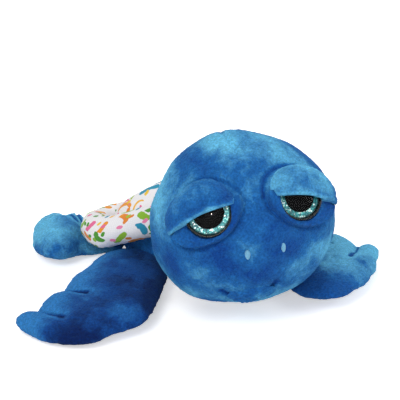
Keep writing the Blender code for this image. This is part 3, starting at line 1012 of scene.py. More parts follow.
@dataclass
class Shell:
    """The tilted shell: a padded roll round a dome, and the belly and sleeve under it."""

    finishes: Finishes
    half_width: float = 0.0515
    half_length: float = 0.0325
    squareness: float = 2.2
    back_shift: float = 0.0040
    height: float = 0.0196
    tilt: float = math.radians(12)
    arch: float = 0.0100
    roll_radius: float = 0.0085
    roll_cage: float = 1.18
    dome_rise: float = 0.0180
    sew_gap: float = 0.0003
    spans: int = 14
    sides: int = 12
    belly_half_width: float = 0.0340
    belly_front: float = 0.0360
    belly_back: float = 0.0275
    belly_squareness: float = 2.8
    belly_tuck: float = 0.0020
    pressed_flat: float = 0.0005
    belly_rows: tuple = ((0.55, 0.0), (0.86, 0.04), (1.00, 0.28), (1.00, 0.62), (1.00, 0.96), (1.00, 1.10))
    belly_seam: tuple = (
        (0, -0.036, 0.012), (0, -0.031, 0.001), (0, 0.0, 0.0), (0, 0.024, 0.001), (0, 0.030, 0.010)
    )
    gathers: int = 34
    rounding: int = 4
    seam_steps: int = 60
    dome_seam: tuple = (0.0012, 0.0016)
    dome_gathers: tuple = (0.00035, 0.006)
    roll_gathers: tuple = (0.00030, 0.0055)
    roll_seam_width: float = 0.0013
    print_shear: float = 0.4

    def point(self, angle: float, inset: float, lift: float) -> Vector:
        """A point of the shell: angle 0 is the neck, inset is measured in from the roll's middle.

        Args:
            angle: the way round.
            inset: how far in.
            lift: how far up.

        Returns:
            The point.
        """
        rise = self.arch * max(0, math.cos(angle)) ** 2
        plan_cos, plan_sin = rounded(angle, self.squareness)
        across = (self.half_width - inset) * plan_sin
        along = -(self.half_length - inset) * plan_cos
        up = lift + rise
        c, s = math.cos(self.tilt), math.sin(self.tilt)
        return Vector((across, self.back_shift + along * c + up * s, self.height - along * s + up * c))

    def ring(self, count: int, inset: float, lift: float) -> list[Vector]:
        """One ring of the shell's points."""
        return [self.point(2 * math.pi * i / count, inset, lift) for i in range(count)]

    def seam(self, inset: float, lift: float) -> list[Vector]:
        """A closed line round the shell, its first point repeated at its end."""
        steps = self.seam_steps
        return [self.point(2 * math.pi * i / steps, inset, lift) for i in range(steps + 1)]

    def unturned(self, points: Array) -> tuple[Array, Array, Array]:
        """Points as across, along and up in the shell's own tilted frame.

        Args:
            points: corner points, one a row.

        Returns:
            All three, one number a point.
        """
        c, s = math.cos(self.tilt), math.sin(self.tilt)
        y, z = points[:, 1] - self.back_shift, points[:, 2] - self.height
        return points[:, 0], y * c - z * s, y * s + z * c

    def flat_roll(self, points: Array) -> Array:
        """Where each point of the roll lies on its flat cloth: round the ring, and round the tube.

        Args:
            points: corner points, one a row.

        Returns:
            The places, one a row.
        """
        across, along, up = self.unturned(points)
        steps = np.linspace(-math.pi, math.pi, 721)
        ring = np.array([rounded(angle, self.squareness) for angle in steps])
        middle = np.stack([self.half_width * ring[:, 1], -self.half_length * ring[:, 0]], -1)
        gone = np.concatenate([[0], np.cumsum(np.linalg.norm(np.diff(middle, axis=0), axis=1))])
        way = np.arctan2(middle[:, 0] / self.half_width, -middle[:, 1] / self.half_length)
        angle = np.arctan2(across / self.half_width, -along / self.half_length)
        round_ = np.interp(angle, way, gone)
        on_ring = np.stack([np.interp(angle, way, middle[:, k]) for k in (0, 1)], -1)
        outward = np.hypot(across, along) - np.linalg.norm(on_ring, axis=1)
        rise = self.arch * np.maximum(0, np.interp(angle, way, np.cos(steps))) ** 2
        tube = np.mod(np.arctan2(up - rise, outward) + 0.6 * math.pi, 2 * math.pi)
        return np.stack([round_, tube * self.roll_radius], -1)

    def dome(self) -> None:
        """The domed cover, gathered where it is sewn to the roll."""
        foot = self.roll_radius + self.sew_gap
        low = self.roll_radius * 0.30
        rows = [self.ring(self.sides, foot + 0.001, low - 0.003)]
        for share in (0.0, 0.34, 0.66, 0.90):
            inset = foot + (self.half_length - foot) * (1 - math.cos(share * math.pi / 2))
            lift = low + (self.dome_rise - low) * math.sin(share * math.pi / 2)
            rows.append(self.ring(self.sides, inset, lift))
        mesh = rounded_mesh(rows_mesh("dome", np.array(rows)), self.rounding)
        wobble = Lumps(11, 0.016)
        seam = self.seam(foot + 0.0006, low + 0.0006)
        spots = (
            (0, foot, low + 0.002), (0, 0.024, 0.0165), (math.pi, 0.024, 0.0165), (math.pi, foot, low + 0.002)
        )
        middle = [self.point(*spot) for spot in spots]
        rise, wide = self.dome_gathers
        deep, narrow = self.dome_seam
        grain = plush_grain(12, 0.0004, 0.00003)

        def carving(points: Array, normals: Array) -> Array:
            """Gathers near the foot, the seam there, and soft unevenness.

            Args:
                points: where it is wanted.
                normals: the outward ways there.

            Returns:
                The offsets, one a point.
            """
            away, along = to_path(points, seam)
            pulled = np.cos(2 * math.pi * self.gathers * along / along.max() + 2.2 * wobble.at(points))
            gathers = rise * pulled * bell(away, wide)
            tuck = -deep * bell(away, narrow)
            sewn = groove(points, middle, 0.0004, 0.0009, stitch=0.0026)
            return gathers + tuck + sewn + grain(points, normals)

        carve(mesh, carving)
        across, along, up = self.unturned(points_of(mesh))
        set_flat(mesh, np.stack([across, along - self.print_shear * up], -1))
        Piece("shell_dome", self.finishes.dome_print, "torso", Slot.PRINT, ("shell_cover",), 0.7).place(mesh)

    def roll(self) -> None:
        """The padded roll round the dome, with its gathers and the seam under it."""
        radius = self.roll_radius * self.roll_cage
        turns = [math.pi / 3 * k for k in range(6)]
        rows = []
        for i in range(self.spans):
            angle = 2 * math.pi * i / self.spans
            rows.append([self.point(angle, radius * math.cos(t), radius * math.sin(t)) for t in turns])
        mesh = rounded_mesh(rows_mesh("roll", np.array(rows), ring=True), self.rounding)
        inner = self.seam(self.roll_radius * 0.95, self.roll_radius * 0.30)
        under = self.seam(self.roll_radius * 0.5, -self.roll_radius * 0.86)
        rise, wide = self.roll_gathers
        wobble = Lumps(21, 0.014)
        grain = plush_grain(22, 0.00045, 0.00003)

        def carving(points: Array, normals: Array) -> Array:
            """Gathers by both seams, and soft unevenness.

            Args:
                points: where it is wanted.
                normals: the outward ways there.

            Returns:
                The offsets, one a point.
            """
            offset = grain(points, normals)
            for path, depth in ((inner, 0.0009), (under, 0.0010)):
                away, along = to_path(points, path)
                pulled = np.cos(2 * math.pi * self.gathers * along / along.max() + 2.5 * wobble.at(points))
                offset = offset + rise * pulled * bell(away, wide)
                offset = offset - depth * bell(away, self.roll_seam_width)
            return offset

        carve(mesh, carving)
        set_flat(mesh, self.flat_roll(points_of(mesh)))
        Piece("shell_roll", self.finishes.roll_print, "torso", Slot.PRINT, ("shell_rim",), 0.8).place(mesh)

    def belly_ring(self, share_out: float, share_up: float) -> list[Vector]:
        """A ring of the belly: share_out of the plan's size, share_up of the way to the shell.

        Args:
            share_out: its size.
            share_up: its height.

        Returns:
            The ring's points.
        """
        row = []
        for i in range(self.sides):
            angle = 2 * math.pi * i / self.sides
            c, s = rounded(angle, self.belly_squareness)
            reach = self.belly_front if c > 0 else self.belly_back
            low = Vector((self.belly_half_width * s * share_out, -reach * c * share_out, 0))
            high = self.point(angle, self.roll_radius + self.belly_tuck, 0)
            spot = low.lerp(high, share_up**2)
            spot.z = -self.pressed_flat + (high.z + self.pressed_flat) * share_up
            row.append(spot)
        return row

    def belly(self) -> None:
        """The belly cover, pressed flat where it lies."""
        rows = [self.belly_ring(out, up) for out, up in self.belly_rows]
        mesh = rounded_mesh(rows_mesh("belly", np.array(rows)), self.rounding)
        grain = plush_grain(31)

        def carving(points: Array, normals: Array) -> Array:
            """The seam down the middle and soft unevenness."""
            return groove(points, self.belly_seam, 0.0008, 0.0010, stitch=0.003) + grain(points, normals)

        carve(mesh, carving)
        points = points_of(mesh)
        points[:, 2] = np.maximum(points[:, 2], 0.0)
        set_points(mesh, points)
        Piece("belly_plush", self.finishes.body, "torso", Slot.PLUSH, ("belly_cover",), 0.6).place(mesh)

    def build(self) -> None:
        """Builds the torso's covers."""
        self.belly()
        self.dome()
        self.roll()


@dataclass
class Neck:
    """The stuffed ball on which the head turns, and its sleeve on the chest."""

    finishes: Finishes
    pivot: Vector
    radius: float = 0.0140
    sleeve_radius: float = 0.0084
    sleeve_start: tuple = (0.0000, -0.0200, 0.0150)
    sleeve_share: float = 0.80
    sleeve_rows: int = 40
    sleeve_columns: int = 64
    crease_rise: float = 0.0005
    creases: float = 900.0
    ball_rows: int = 44
    ball_columns: int = 72

    def ball(self) -> None:
        """The stuffed ball."""
        down = np.linspace(0.02, math.pi - 0.02, self.ball_rows)[:, None]
        turn = np.linspace(0, 2 * math.pi, self.ball_columns, endpoint=False)[None, :]
        level = np.cos(down) * np.ones_like(turn)
        rows = np.stack([np.sin(down) * np.cos(turn), np.sin(down) * np.sin(turn), level], -1)
        mesh = rows_mesh("neck ball", rows * self.radius + np.array(self.pivot))
        carve(mesh, plush_grain(41, 0.00015, 0.00010))
        Piece("neck_ball", self.finishes.body, "neck", Slot.PLUSH, ("neck",), 0.8).place(mesh)

    def sleeve(self) -> None:
        """The short sleeve from the chest to the ball, creased round."""
        start = Vector(self.sleeve_start)
        way = self.pivot - start
        turn = way.to_track_quat("Z", "Y").to_matrix().to_4x4()
        angles = np.linspace(0, 2 * math.pi, self.sleeve_columns, endpoint=False)
        rows = []
        for level in np.linspace(0, way.length - self.radius * self.sleeve_share, self.sleeve_rows):
            radius = self.sleeve_radius + self.crease_rise * math.cos(level * self.creases)
            height = np.full(len(angles), level)
            rows.append(np.stack([radius * np.cos(angles), radius * np.sin(angles), height], -1))
        grid = np.array(rows)
        placed = moved(grid.reshape(-1, 3), Matrix.Translation(start) @ turn)
        mesh = rows_mesh("sleeve", placed.reshape(grid.shape))
        carve(mesh, plush_grain(43, 0.0002, 0.0001))
        Piece("neck_sleeve_plush", self.finishes.body, "torso", Slot.PLUSH, ("neck_sleeve",), 0.6).place(mesh)

    def build(self) -> None:
        """Builds the ball and the sleeve."""
        self.ball()
        self.sleeve()


@dataclass(frozen=True)
class Tones:
    """How much painted light and shade a flipper's tone gets by its edges, within a distance, and towards its
    root and its tip.
    """

    by_trail: float
    wide_trail: float
    by_lead: float
    wide_lead: float
    by_root: float
    by_tip: float


@dataclass(frozen=True)
class FlipperShape:
    """A flipper's outline, from its hinge at share 0 to its tip at share 1.

    Each row is a share of the length, the shares of the leading and the trailing reach there, the share of the
    half thickness, and how much of it the pinched quarter keeps. Each pinch runs through shares of the length
    and of the reach, which is positive at the trailing edge.
    """

    root: tuple
    yaw: float
    length: float
    lead_reach: float
    trail_reach: float
    root_half_chord: float
    root_radius: float
    half_thickness: float
    rows: tuple
    pinches: tuple
    tones: Tones
    tip_lift: float = 0.0


FRONT_ROWS = (
    (0.08, 0.54, 1.18, 0.95, 1.00),
    (0.28, 0.76, 0.94, 1.00, 1.00),
    (0.47, 1.00, 0.82, 1.00, 0.95),
    (0.57, 1.04, 0.50, 0.96, 0.50),
    (0.67, 1.00, 0.62, 0.90, 0.95),
    (0.81, 0.92, 0.28, 0.78, 0.50),
    (0.90, 0.84, 0.60, 0.64, 0.95),
    (0.98, 0.58, 0.50, 0.44, 1.00),
)
LEFT_ROWS = (
    (0.08, 0.46, 1.15, 0.95, 1.00),
    (0.28, 0.74, 0.98, 1.00, 1.00),
    (0.47, 0.94, 0.92, 1.00, 0.95),
    (0.62, 1.02, 0.96, 0.94, 0.80),
    (0.72, 1.01, 0.74, 0.88, 0.90),
    (0.81, 0.95, 0.20, 0.78, 0.50),
    (0.90, 0.84, 0.58, 0.64, 0.95),
    (0.98, 0.50, 0.30, 0.44, 1.00),
)
REAR_ROWS = (
    (0.12, 0.40, 0.44, 0.30, 1.00),
    (0.36, 0.70, 0.72, 0.31, 1.00),
    (0.45, 0.88, 0.94, 0.74, 1.00),
    (0.54, 1.06, 1.10, 1.08, 0.88),
    (0.65, 1.10, 0.80, 1.08, 0.55),
    (0.78, 1.02, 1.06, 1.00, 0.92),
    (0.94, 0.56, 0.62, 0.68, 1.00),
)
RIGHT_PINCHES = (
    ((0.575, 0.70), (0.600, 0.10), (0.598, -0.10), (0.590, -0.22)),
    ((0.815, 0.45), (0.838, 0.00), (0.850, -0.18), (0.850, -0.34)),
)
LEFT_PINCHES = (
    ((0.815, 0.60), (0.825, 0.10), (0.820, -0.18), (0.795, -0.34)),
    ((0.520, 0.90), (0.560, 0.20), (0.600, -0.06), (0.640, -0.12)),
)
REAR_PINCHES = (
    ((0.68, 0.80), (0.62, 0.42), (0.50, 0.10)),
    ((0.54, 0.90), (0.48, 0.42), (0.40, 0.20)),
)
FRONT_RIGHT = FlipperShape(
    root=(-0.0330, -0.0210),
    yaw=math.radians(29),
    length=0.0932,
    lead_reach=0.0465,
    trail_reach=0.0180,
    root_half_chord=0.0190,
    root_radius=0.0075,
    half_thickness=0.0084,
    rows=FRONT_ROWS,
    pinches=RIGHT_PINCHES,
    # Painted light along the trailing edge and painted shade towards the root, under the head.
    tones=Tones(by_trail=2.8, wide_trail=0.021, by_lead=-0.3, wide_lead=0.008, by_root=-1.6, by_tip=-0.6),
)
FRONT_LEFT = replace(
    FRONT_RIGHT,
    yaw=math.radians(32),
    length=0.0690,
    lead_reach=0.0640,
    half_thickness=0.0079,
    rows=LEFT_ROWS,
    pinches=LEFT_PINCHES,
    tones=Tones(by_trail=1.7, wide_trail=0.024, by_lead=-1.3, wide_lead=0.014, by_root=-0.4, by_tip=0.4),
    tip_lift=0.0058,
)
REAR_BOTH = FlipperShape(
    root=(-0.0305, 0.0205),
    yaw=math.radians(-25),
    length=0.0510,
    lead_reach=0.0305,
    trail_reach=0.0240,
    root_half_chord=0.0090,
    root_radius=0.0028,
    half_thickness=0.0087,
    rows=REAR_ROWS,
    pinches=REAR_PINCHES,
    tones=Tones(by_trail=0.5, wide_trail=0.010, by_lead=-1.2, wide_lead=0.010, by_root=0.3, by_tip=1.0),
)


@dataclass
class Flipper:
    """One stuffed flipper: two panels sewn round the edge, pinched into fingers."""

    finishes: Finishes
    shape: FlipperShape
    end: str
    side: Side
    material: Material
    seed: int
    reach_cage: float = 1.17
    rise_cage: float = 1.20
    squareness: float = 2.3
    nose_angles: tuple = (-62, -30, 0)
    tip_share: float = 0.025
    tip_draw: float = 0.45
    floor_clearance: float = 0.0004
    edge_share: float = 0.86
    root_hold: float = 0.010
    seam_hold: float = 0.0022
    pinch_hold: float = 0.0030
    seam_groove: tuple = (0.0007, 0.0009)
    stitch: float = 0.0024
    pinch_grooves: tuple = ((0.0018, 0.0010, 0.3), (0.0008, 0.0045, 0.7))
    grain: float = 0.00035
    root_tone_to: float = 0.55
    tip_tone_from: float = 0.6
    tip_tone_over: float = 0.4
    # Painted highlight beside each pinch (strength, offset, spread) and painted shade in its core (strength,
    # width).
    pinch_light: tuple = (0.5, 0.0032, 0.0016)
    pinch_dark: tuple = (2.4, 0.0011)

    def section(self, out: float, lead: float, trail: float, half: float, left: float) -> list[Vector]:
        """One closed section of six points, its underside level.

        Args:
            out: its distance from the hinge.
            lead: its leading reach.
            trail: its trailing reach.
            half: half its thickness.
            left: what the pinched quarter keeps of that.

        Returns:
            The points.
        """
        middle, reach = (trail - lead) / 2, (trail + lead) / 2
        row = []
        for i in range(6):
            across, up = rounded(math.pi / 3 * i, self.squareness)
            pinch = left if across > 0 and up > 0 else 1
            row.append(
                Vector((out, middle + reach * across * self.reach_cage, half * pinch * up * self.rise_cage))
            )
        return row

    def cage(self) -> Array:
        """The flipper's sections, from its root to its tip, before rounding.

        Returns:
            The sections' points.
        """
        shape = self.shape
        rows = []
        for degrees in self.nose_angles:
            size = math.cos(math.radians(degrees))
            out = shape.root_radius * math.sin(math.radians(degrees))
            chord = shape.root_half_chord * size
            rows.append(self.section(out, chord, chord, shape.root_radius * size, 1))
        for along, lead, trail, thick, left in shape.rows:
            half = shape.half_thickness * thick
            row = self.section(
                shape.length * along, shape.lead_reach * lead, shape.trail_reach * trail, half, left
            )
            lift = Vector((0, 0, half - shape.root_radius + shape.tip_lift * along**2))
            rows.append([spot + lift for spot in row])
        middle = sum(rows[-1], Vector()) / 6
        beyond = Vector((shape.length * self.tip_share, 0, 0))
        rows.append([spot.lerp(middle, self.tip_draw) + beyond for spot in rows[-1]])
        return np.array(rows)

    def edges(self, rows: Array) -> list[list[Array]]:
        """The two sewn edges, leading and trailing, through the sections' outermost places."""
        middle = rows.mean(1)
        return [list(middle + (rows[:, index] - middle) * self.edge_share)[1:] for index in (3, 0)]

    def pinch_paths(self) -> list[list[tuple[float, float, float]]]:
        """Where the fingers are pinched, in plan.

        Returns:
            The pinches' corners.
        """
        shape = self.shape
        paths = []
        for path in shape.pinches:
            reaches = [shape.trail_reach if across > 0 else shape.lead_reach for _, across in path]
            paths.append([(shape.length * a, reach * b, 0.0) for (a, b), reach in zip(path, reaches)])
        return paths

    def holding(self, edges: Paths, pinches: Paths) -> Callable[[Array], Array]:
        """What holds the cloth while it is blown up: the root, the seams and the pinches.

        Args:
            edges: the sewn edges.
            pinches: the pinches.

        Returns:
            A function from points to how firmly they are held.
        """

        def held(points: Array) -> Array:
            """How firmly each point is held, from 0 to 1.

            Args:
                points: corner points, one a row.

            Returns:
                One number a point.
            """
            firm = np.clip(1 - (points[:, 0] - self.shape.root_radius) / self.root_hold, 0, 1)
            for path in edges:
                firm = np.maximum(firm, bell(to_path(points, path)[0], self.seam_hold))
            for path in pinches:
                firm = np.maximum(firm, bell(to_path(points * PLAN, path)[0], self.pinch_hold))
            return firm

        return held

    def sewing(self, edges: Paths, pinches: Paths) -> Carving:
        """The offset of the seams, the pinches and the grain.

        Args:
            edges: the sewn edges.
            pinches: the pinches.

        Returns:
            The carving.
        """
        grain = plush_grain(self.seed, self.grain)

        def carving(points: Array, normals: Array) -> Array:
            """The offset at each point.

            Args:
                points: where it is wanted.
                normals: the outward ways there.

            Returns:
                The offsets, one a point.
            """
            offset = grain(points, normals)
            for path in edges:
                offset = offset + groove(points, path, *self.seam_groove, stitch=self.stitch)
            upper = np.clip(normals[:, 2] + 0.5, 0, 1)
            for path in pinches:
                pinched = sum(groove(points * PLAN, path, *sizes) for sizes in self.pinch_grooves)
                offset = offset + pinched * upper
            return offset

        return carving

    def nap(self, mesh: Mesh, edges: Paths, pinches: Paths) -> Array:
        """The flipper's tone: painted light and shade by the edges and towards both ends, and painted shade in
        the pinches with a painted highlight beside each.

        Args:
            mesh: the flipper in its own frame.
            edges: the sewn edges.
            pinches: the pinches.

        Returns:
            One number a point.
        """
        points, facing = points_of(mesh), normals_of(mesh)[:, 2]
        lead, trail = edges
        tones = self.shape.tones
        nap = tones.by_trail * bell(to_path(points, trail)[0], tones.wide_trail)
        nap += tones.by_lead * bell(to_path(points, lead)[0], tones.wide_lead)
        out = points[:, 0] / self.shape.length
        by_root = tones.by_root * np.clip(1 - out / self.root_tone_to, 0, 1)
        nap += by_root + tones.by_tip * np.clip((out - self.tip_tone_from) / self.tip_tone_over, 0, 1)
        # Painted highlight beside each pinch and painted shade in its core, on the upper side.
        light, beside, spread = self.pinch_light
        dark, narrow = self.pinch_dark
        for path in pinches:
            away = to_path(points * PLAN, path)[0]
            pressed = light * bell(away - beside, spread) - dark * bell(away, narrow)
            nap += pressed * np.clip(facing + 0.5, 0, 1)
        return nap

    def set_down(self, points: Array) -> Array:
        """Carries points from the flipper's own frame to its hinge, and keeps them above the floor.

        Args:
            points: corner points, one a row.

        Returns:
            The points in the toy's frame.
        """
        shape, side = self.shape, self.side.value
        points[:, 0] *= side
        height = shape.root_radius + self.floor_clearance
        hinge = Matrix.Translation((-side * shape.root[0], shape.root[1], height))
        points = moved(points, hinge @ Matrix.Rotation(-side * shape.yaw, 4, "Z"))
        points[:, 2] = np.maximum(points[:, 2], self.floor_clearance * 0.5)
        return points

    def build(self) -> None:
        """Builds the flipper, blown up between its seams, then sewn and pinched."""
        rows = self.cage()
        edges, pinches = self.edges(rows), self.pinch_paths()
        end, word = self.end, self.side.word
        mesh = rows_mesh(f"{end} flipper {word}", rows)
        mesh = Puffing().apply(rounded_mesh(mesh, 2), self.holding(edges, pinches))
        mesh = rounded_mesh(mesh, 2)
        self.face_outwards(mesh)
        carve(mesh, self.sewing(edges, pinches))
        nap = self.nap(mesh, edges, pinches)
        set_points(mesh, self.set_down(points_of(mesh)))
        self.face_outwards(mesh)
        set_values(mesh, "nap", nap)
        nodes = (f"{end}_flipper_{word}",)
        Piece(f"{end}_flipper_plush_{word}", self.material, f"{end}_{word}", Slot.PLUSH, nodes, 0.75).place(mesh)

    @staticmethod
    def flipped(mesh: Mesh) -> bool:
        """True if a closed mesh's faces look inwards.

        Args:
            mesh: the mesh.

        Returns:
            Whether they do.
        """
        work = bmesh.new()
        work.from_mesh(mesh)
        volume = work.calc_volume(signed=True)
        work.free()
        return volume < 0

    def face_outwards(self, mesh: Mesh) -> None:
        """Turns a closed mesh's faces outwards if they look in."""
        if self.flipped(mesh):
            mesh.flip_normals()


@dataclass
class Head:
    """The head: a ball with a narrow crown and full cheeks, and all that is sewn on it."""

    finishes: Finishes
    half_width: float = 0.0475
    half_depth: float = 0.0410
    half_height: float = 0.0442
    neck: tuple = (0.0040, -0.0485, 0.0330)
    from_neck: tuple = (0.0030, -0.0295, 0.0216)
    turn: float = math.radians(-7)
    roll: float = math.radians(-6)
    crown: float = 1.74
    jaw: float = 2.38
    columns: int = 380
    rows: int = 240
    pole: float = 89.4
    before: float = -0.02
    lid_half_width: float = 0.0200
    lid_half_height: float = 0.0168
    lid_outward: float = 0.0026
    lid_droop: float = math.radians(32)
    lid_crease: tuple = (0.0012, 1.03, 0.055)
    # Painted shade in the crease round each lid's inner end: strength for the right and the left lid.
    lid_shade: tuple = (0.25, 1.1)
    lid_shade_place: tuple = (1.05, 0.06)
    patch_half_height: float = 0.0140
    eye_azimuth: float = 36.5
    eye_elevation: float = 24.0
    eye_slew: float = 2.4
    eye_toe_in: float = math.radians(11)
    eye_room: float = 0.0119
    eye_press: tuple = (0.0014, 0.0006)
    lean: float = 0.0040
    cheek: tuple = (-84.0, -38.0, 24.0, 0.0016)
    lean_from: float = 0.020
    lean_over: float = 0.022
    dart: tuple = ((-170, 78), (-60, 88), (0, 80), (1.5, 72), (1, 64))
    dart_groove: tuple = (0.0010, 0.0012)
    back_seam: tuple = ((180, 80), (180, 55), (180, 25), (180, 0), (180, -20))
    back_groove: tuple = (0.0008, 0.0011)
    stitch: float = 0.0026
    bridge: tuple = ((-15, 24.5), (-3, 26.0), (8, 23.0))
    bridge_groove: tuple = (0.0006, 0.0018)
    mouth: tuple = (
        ((-22, -44), (-27, -43), (-31, -40.5), (-36, -35.5)), ((-1, -45), (2, -43.5), (5, -39.5), (8, -34))
    )
    mouth_grooves: tuple = ((0.0014, 0.0012), (0.0006, 0.0040))
    # Painted shade in the mouth's creases: strength and width.
    mouth_shade: tuple = (1.7, 0.0017)
    chin_spot: tuple = (12.0, -44.0)
    chin_size: tuple = (0.0125, 0.0072, 0.0026)
    chin_tuck: float = math.radians(20)
    chin_under: float = 0.0008
    chin_rows: int = 60
    chin_columns: int = 110
    nostril_spot: tuple = (12.8, -5.7)
    nostril_size: tuple = (0.0014, 0.0025, 0.0009)
    nostril_threads: int = 12
    thread_steps: int = 12
    thread_sides: int = 8
    # Patches of the cover's tone: azimuth, elevation, spread in degrees, and value. They are partly the pile's
    # lie and partly painted light and shade, such as the broad painted rim light at azimuth -107.
    stroked: tuple = (
        (-53, 57, 13, -0.6),
        (-30, -9, 12, -0.9),
        (-1, 50, 13, -0.7),
        (31, 50, 11, -0.3),
        (60, 62, 20, 0.5),
        (10, 66, 14, 0.2),
        (10, -5, 14, -0.5),
        (0, -36, 9, 0.4),
        (-6, -12, 10, -0.4),
        (-68, -12, 8, -1.0),
        (-100, 58, 9, -0.5),
        (-13, -21, 10, -0.5),
        (-107, 24, 22, 1.5),
        (-80, 12, 9, 0.7),
        (40, 72, 16, 0.6),
        (-60, 80, 12, 0.9),
        (-83, -36, 13, 0.8),
        (-54, -36, 11, 0.9),
        (-20, -50, 14, 0.7),
        (56, -22, 10, 0.6),
        (18, -25, 10, 0.5),
        (150, 40, 25, 0.5),
        (160, -10, 25, -0.5),
    )

    @property
    def frame(self) -> Matrix:
        """The head's middle and turn within the toy."""
        pivot = Matrix.Translation(self.neck) @ Matrix.Rotation(self.turn, 4, "Z")
        return pivot @ Matrix.Rotation(self.roll, 4, "Y") @ Matrix.Translation(self.from_neck)

    def surface(self, ways: Array) -> Array:
        """The head's surface in each of the given unit directions.

        Args:
            ways: the directions, one a row.

        Returns:
            The points.
        """
        level = np.hypot(ways[:, 0] / self.half_width, ways[:, 1] / self.half_depth)
        rise = np.abs(ways[:, 2]) / self.half_height
        power = np.where(ways[:, 2] < 0, self.jaw, self.crown)
        return ways * ((level**power + rise**power) ** (-1 / power))[:, None]

    def on(self, azimuth: float, elevation: float) -> Array:
        """A point of the head's surface from two angles in degrees, azimuth 0 straight ahead."""
        return self.surface(self.way(azimuth, elevation)[None, :])[0]

    @staticmethod
    def way(azimuth: float, elevation: float) -> Array:
        """A unit direction from the head's middle."""
        a, e = math.radians(azimuth), math.radians(elevation)
        return np.array([math.sin(a) * math.cos(e), -math.cos(a) * math.cos(e), math.sin(e)])

    def apart(self, ways: Array, azimuth: float, elevation: float) -> Array:
        """How many degrees each unit direction lies from the one given by two angles."""
        return np.degrees(np.arccos(np.clip(ways @ self.way(azimuth, elevation), -1, 1)))

    def line(self, angles: Sequence[tuple[float, float]], steps: int = 6) -> list[Array]:
        """A line over the head through pairs of angles.

        Args:
            angles: the line's corners.
            steps: points from one corner to the next.

        Returns:
            The line's points.
        """
        ways = [self.way(*pair) for pair in angles]
        path = []
        for a, b in zip(ways, ways[1:]):
            for k in range(steps):
                mixed = a + (b - a) * k / steps
                path.append(self.surface((mixed / np.linalg.norm(mixed))[None, :])[0])
        path.append(self.surface(ways[-1][None, :])[0])
        return path

    def spot(self, azimuth: float, elevation: float, side: Side = Side.LEFT) -> Matrix:
        """A place on the head's surface, where z points out of it and y up along it.

        Args:
            azimuth: degrees outwards from the nose.
            elevation: degrees up.
            side: the side it is on.

        Returns:
            The place and its turn.
        """
        point = self.on(side.value * azimuth, elevation)
        power = self.jaw if elevation < 0 else self.crown
        level = math.hypot(point[0] / self.half_width, point[1] / self.half_depth)
        tall = math.copysign(abs(point[2] / self.half_height) ** (power - 1), point[2]) / self.half_height
        flat = Vector((point[0] / self.half_width**2, point[1] / self.half_depth**2, 0)) * level ** (power - 2)
        out = (flat + Vector((0, 0, tall))).normalized()
        across = Vector((0, 0, 1)).cross(out).normalized()
        turn = Matrix((across, out.cross(across), out)).transposed().to_4x4()
        return Matrix.Translation(Vector(point)) @ turn

    def eye_spot(self, side: Side) -> Matrix:
        """An eye's middle on the head's surface, before it is toed in."""
        return self.spot(self.eye_azimuth - side.value * self.eye_slew, self.eye_elevation, side)

    def socket(self, side: Side) -> Matrix:
        """An eye's own frame, toed in towards the front."""
        return self.eye_spot(side) @ Matrix.Rotation(-side.value * self.eye_toe_in, 4, "Y")

    def slanted(self, side: Side) -> Matrix:
        """The lid's frame: x runs along its drooping edge, and its middle lies outward of the eye's."""
        droop = Matrix.Rotation(-side.value * self.lid_droop, 4, "Z")
        return self.eye_spot(side) @ droop @ Matrix.Translation((side.value * self.lid_outward, 0, 0))

    def seated(self, points: Array, side: Side) -> Array:
        """Presses the cover down under an eye, so that none of it stands up through the glitter.

        Args:
            points: corner points, one a row.
            side: the eye's side.

        Returns:
            The points, moved.
        """
        socket = self.socket(side)
        local = moved(points, socket.inverted())
        away = np.hypot(local[:, 0], local[:, 1])
        depth, width = self.eye_press
        held = np.clip((self.eye_room - away) / width, 0, 1) * (local[:, 2] > self.before)
        deep = np.minimum(local[:, 2], -depth)
        local[:, 2] += (deep - local[:, 2]) * held
        return moved(local, socket)

    def leaned(self, points: Array) -> Array:
        """Fills the right cheek and leans the crown a little to the right.

        Args:
            points: corner points, one a row.

        Returns:
            The points, moved.
        """
        azimuth, elevation, spread, fuller = self.cheek
        ways = points / np.linalg.norm(points, axis=1)[:, None]
        swell = fuller * bell(self.apart(ways, azimuth, elevation), spread)
        points = points + ways * swell[:, None]
        rise = np.clip((points[:, 2] - self.lean_from) / self.lean_over, 0, 1)
        points[:, 0] -= self.lean * rise * rise * (3 - 2 * rise)
        return points

    def sewing(self) -> Carving:
        """The offset of the cover's seams, folds, grain, and the crease round each eye.

        Returns:
            The carving.
        """
        grain = plush_grain(51, 0.00022, 0.00007)
        seams = ((self.dart, self.dart_groove), (self.back_seam, self.back_groove))
        folds = [(self.bridge, self.bridge_groove)]
        folds += [(end, sizes) for end in self.mouth for sizes in self.mouth_grooves]
        depth, place, width = self.lid_crease

        def carving(points: Array, normals: Array) -> Array:
            """The offset at each point.

            Args:
                points: where it is wanted.
                normals: the outward ways there.

            Returns:
                The offsets, one a point.
            """
            offset = grain(points, normals)
            for angles, sizes in seams:
                offset = offset + groove(points, self.line(angles), *sizes, stitch=self.stitch)
            for angles, sizes in folds:
                offset = offset + groove(points, self.line(angles), *sizes)
            for side in Side:
                local = moved(points, self.slanted(side).inverted())
                tall = np.where(local[:, 1] > 0, self.lid_half_height, self.patch_half_height)
                off = np.hypot(local[:, 0] / self.lid_half_width, local[:, 1] / tall)
                crease = depth * bell(off - place, width)
                offset = offset - np.where(local[:, 2] > self.before, crease, 0)
            return offset

        return carving

    def nap(self, ways: Array, points: Array) -> Array:
        """The cover's tone: patches of the pile's lie with painted light and shade, and painted shade in the
        mouth's creases and round each lid's inner end.

        Args:
            ways: each point's direction from the head's middle.
            points: the points.

        Returns:
            One number a point.
        """
        nap = np.zeros(len(ways))
        # Patches of the pile's lie with painted light and shade in them.
        for azimuth, elevation, size, value in self.stroked:
            nap += value * bell(self.apart(ways, azimuth, elevation), size)
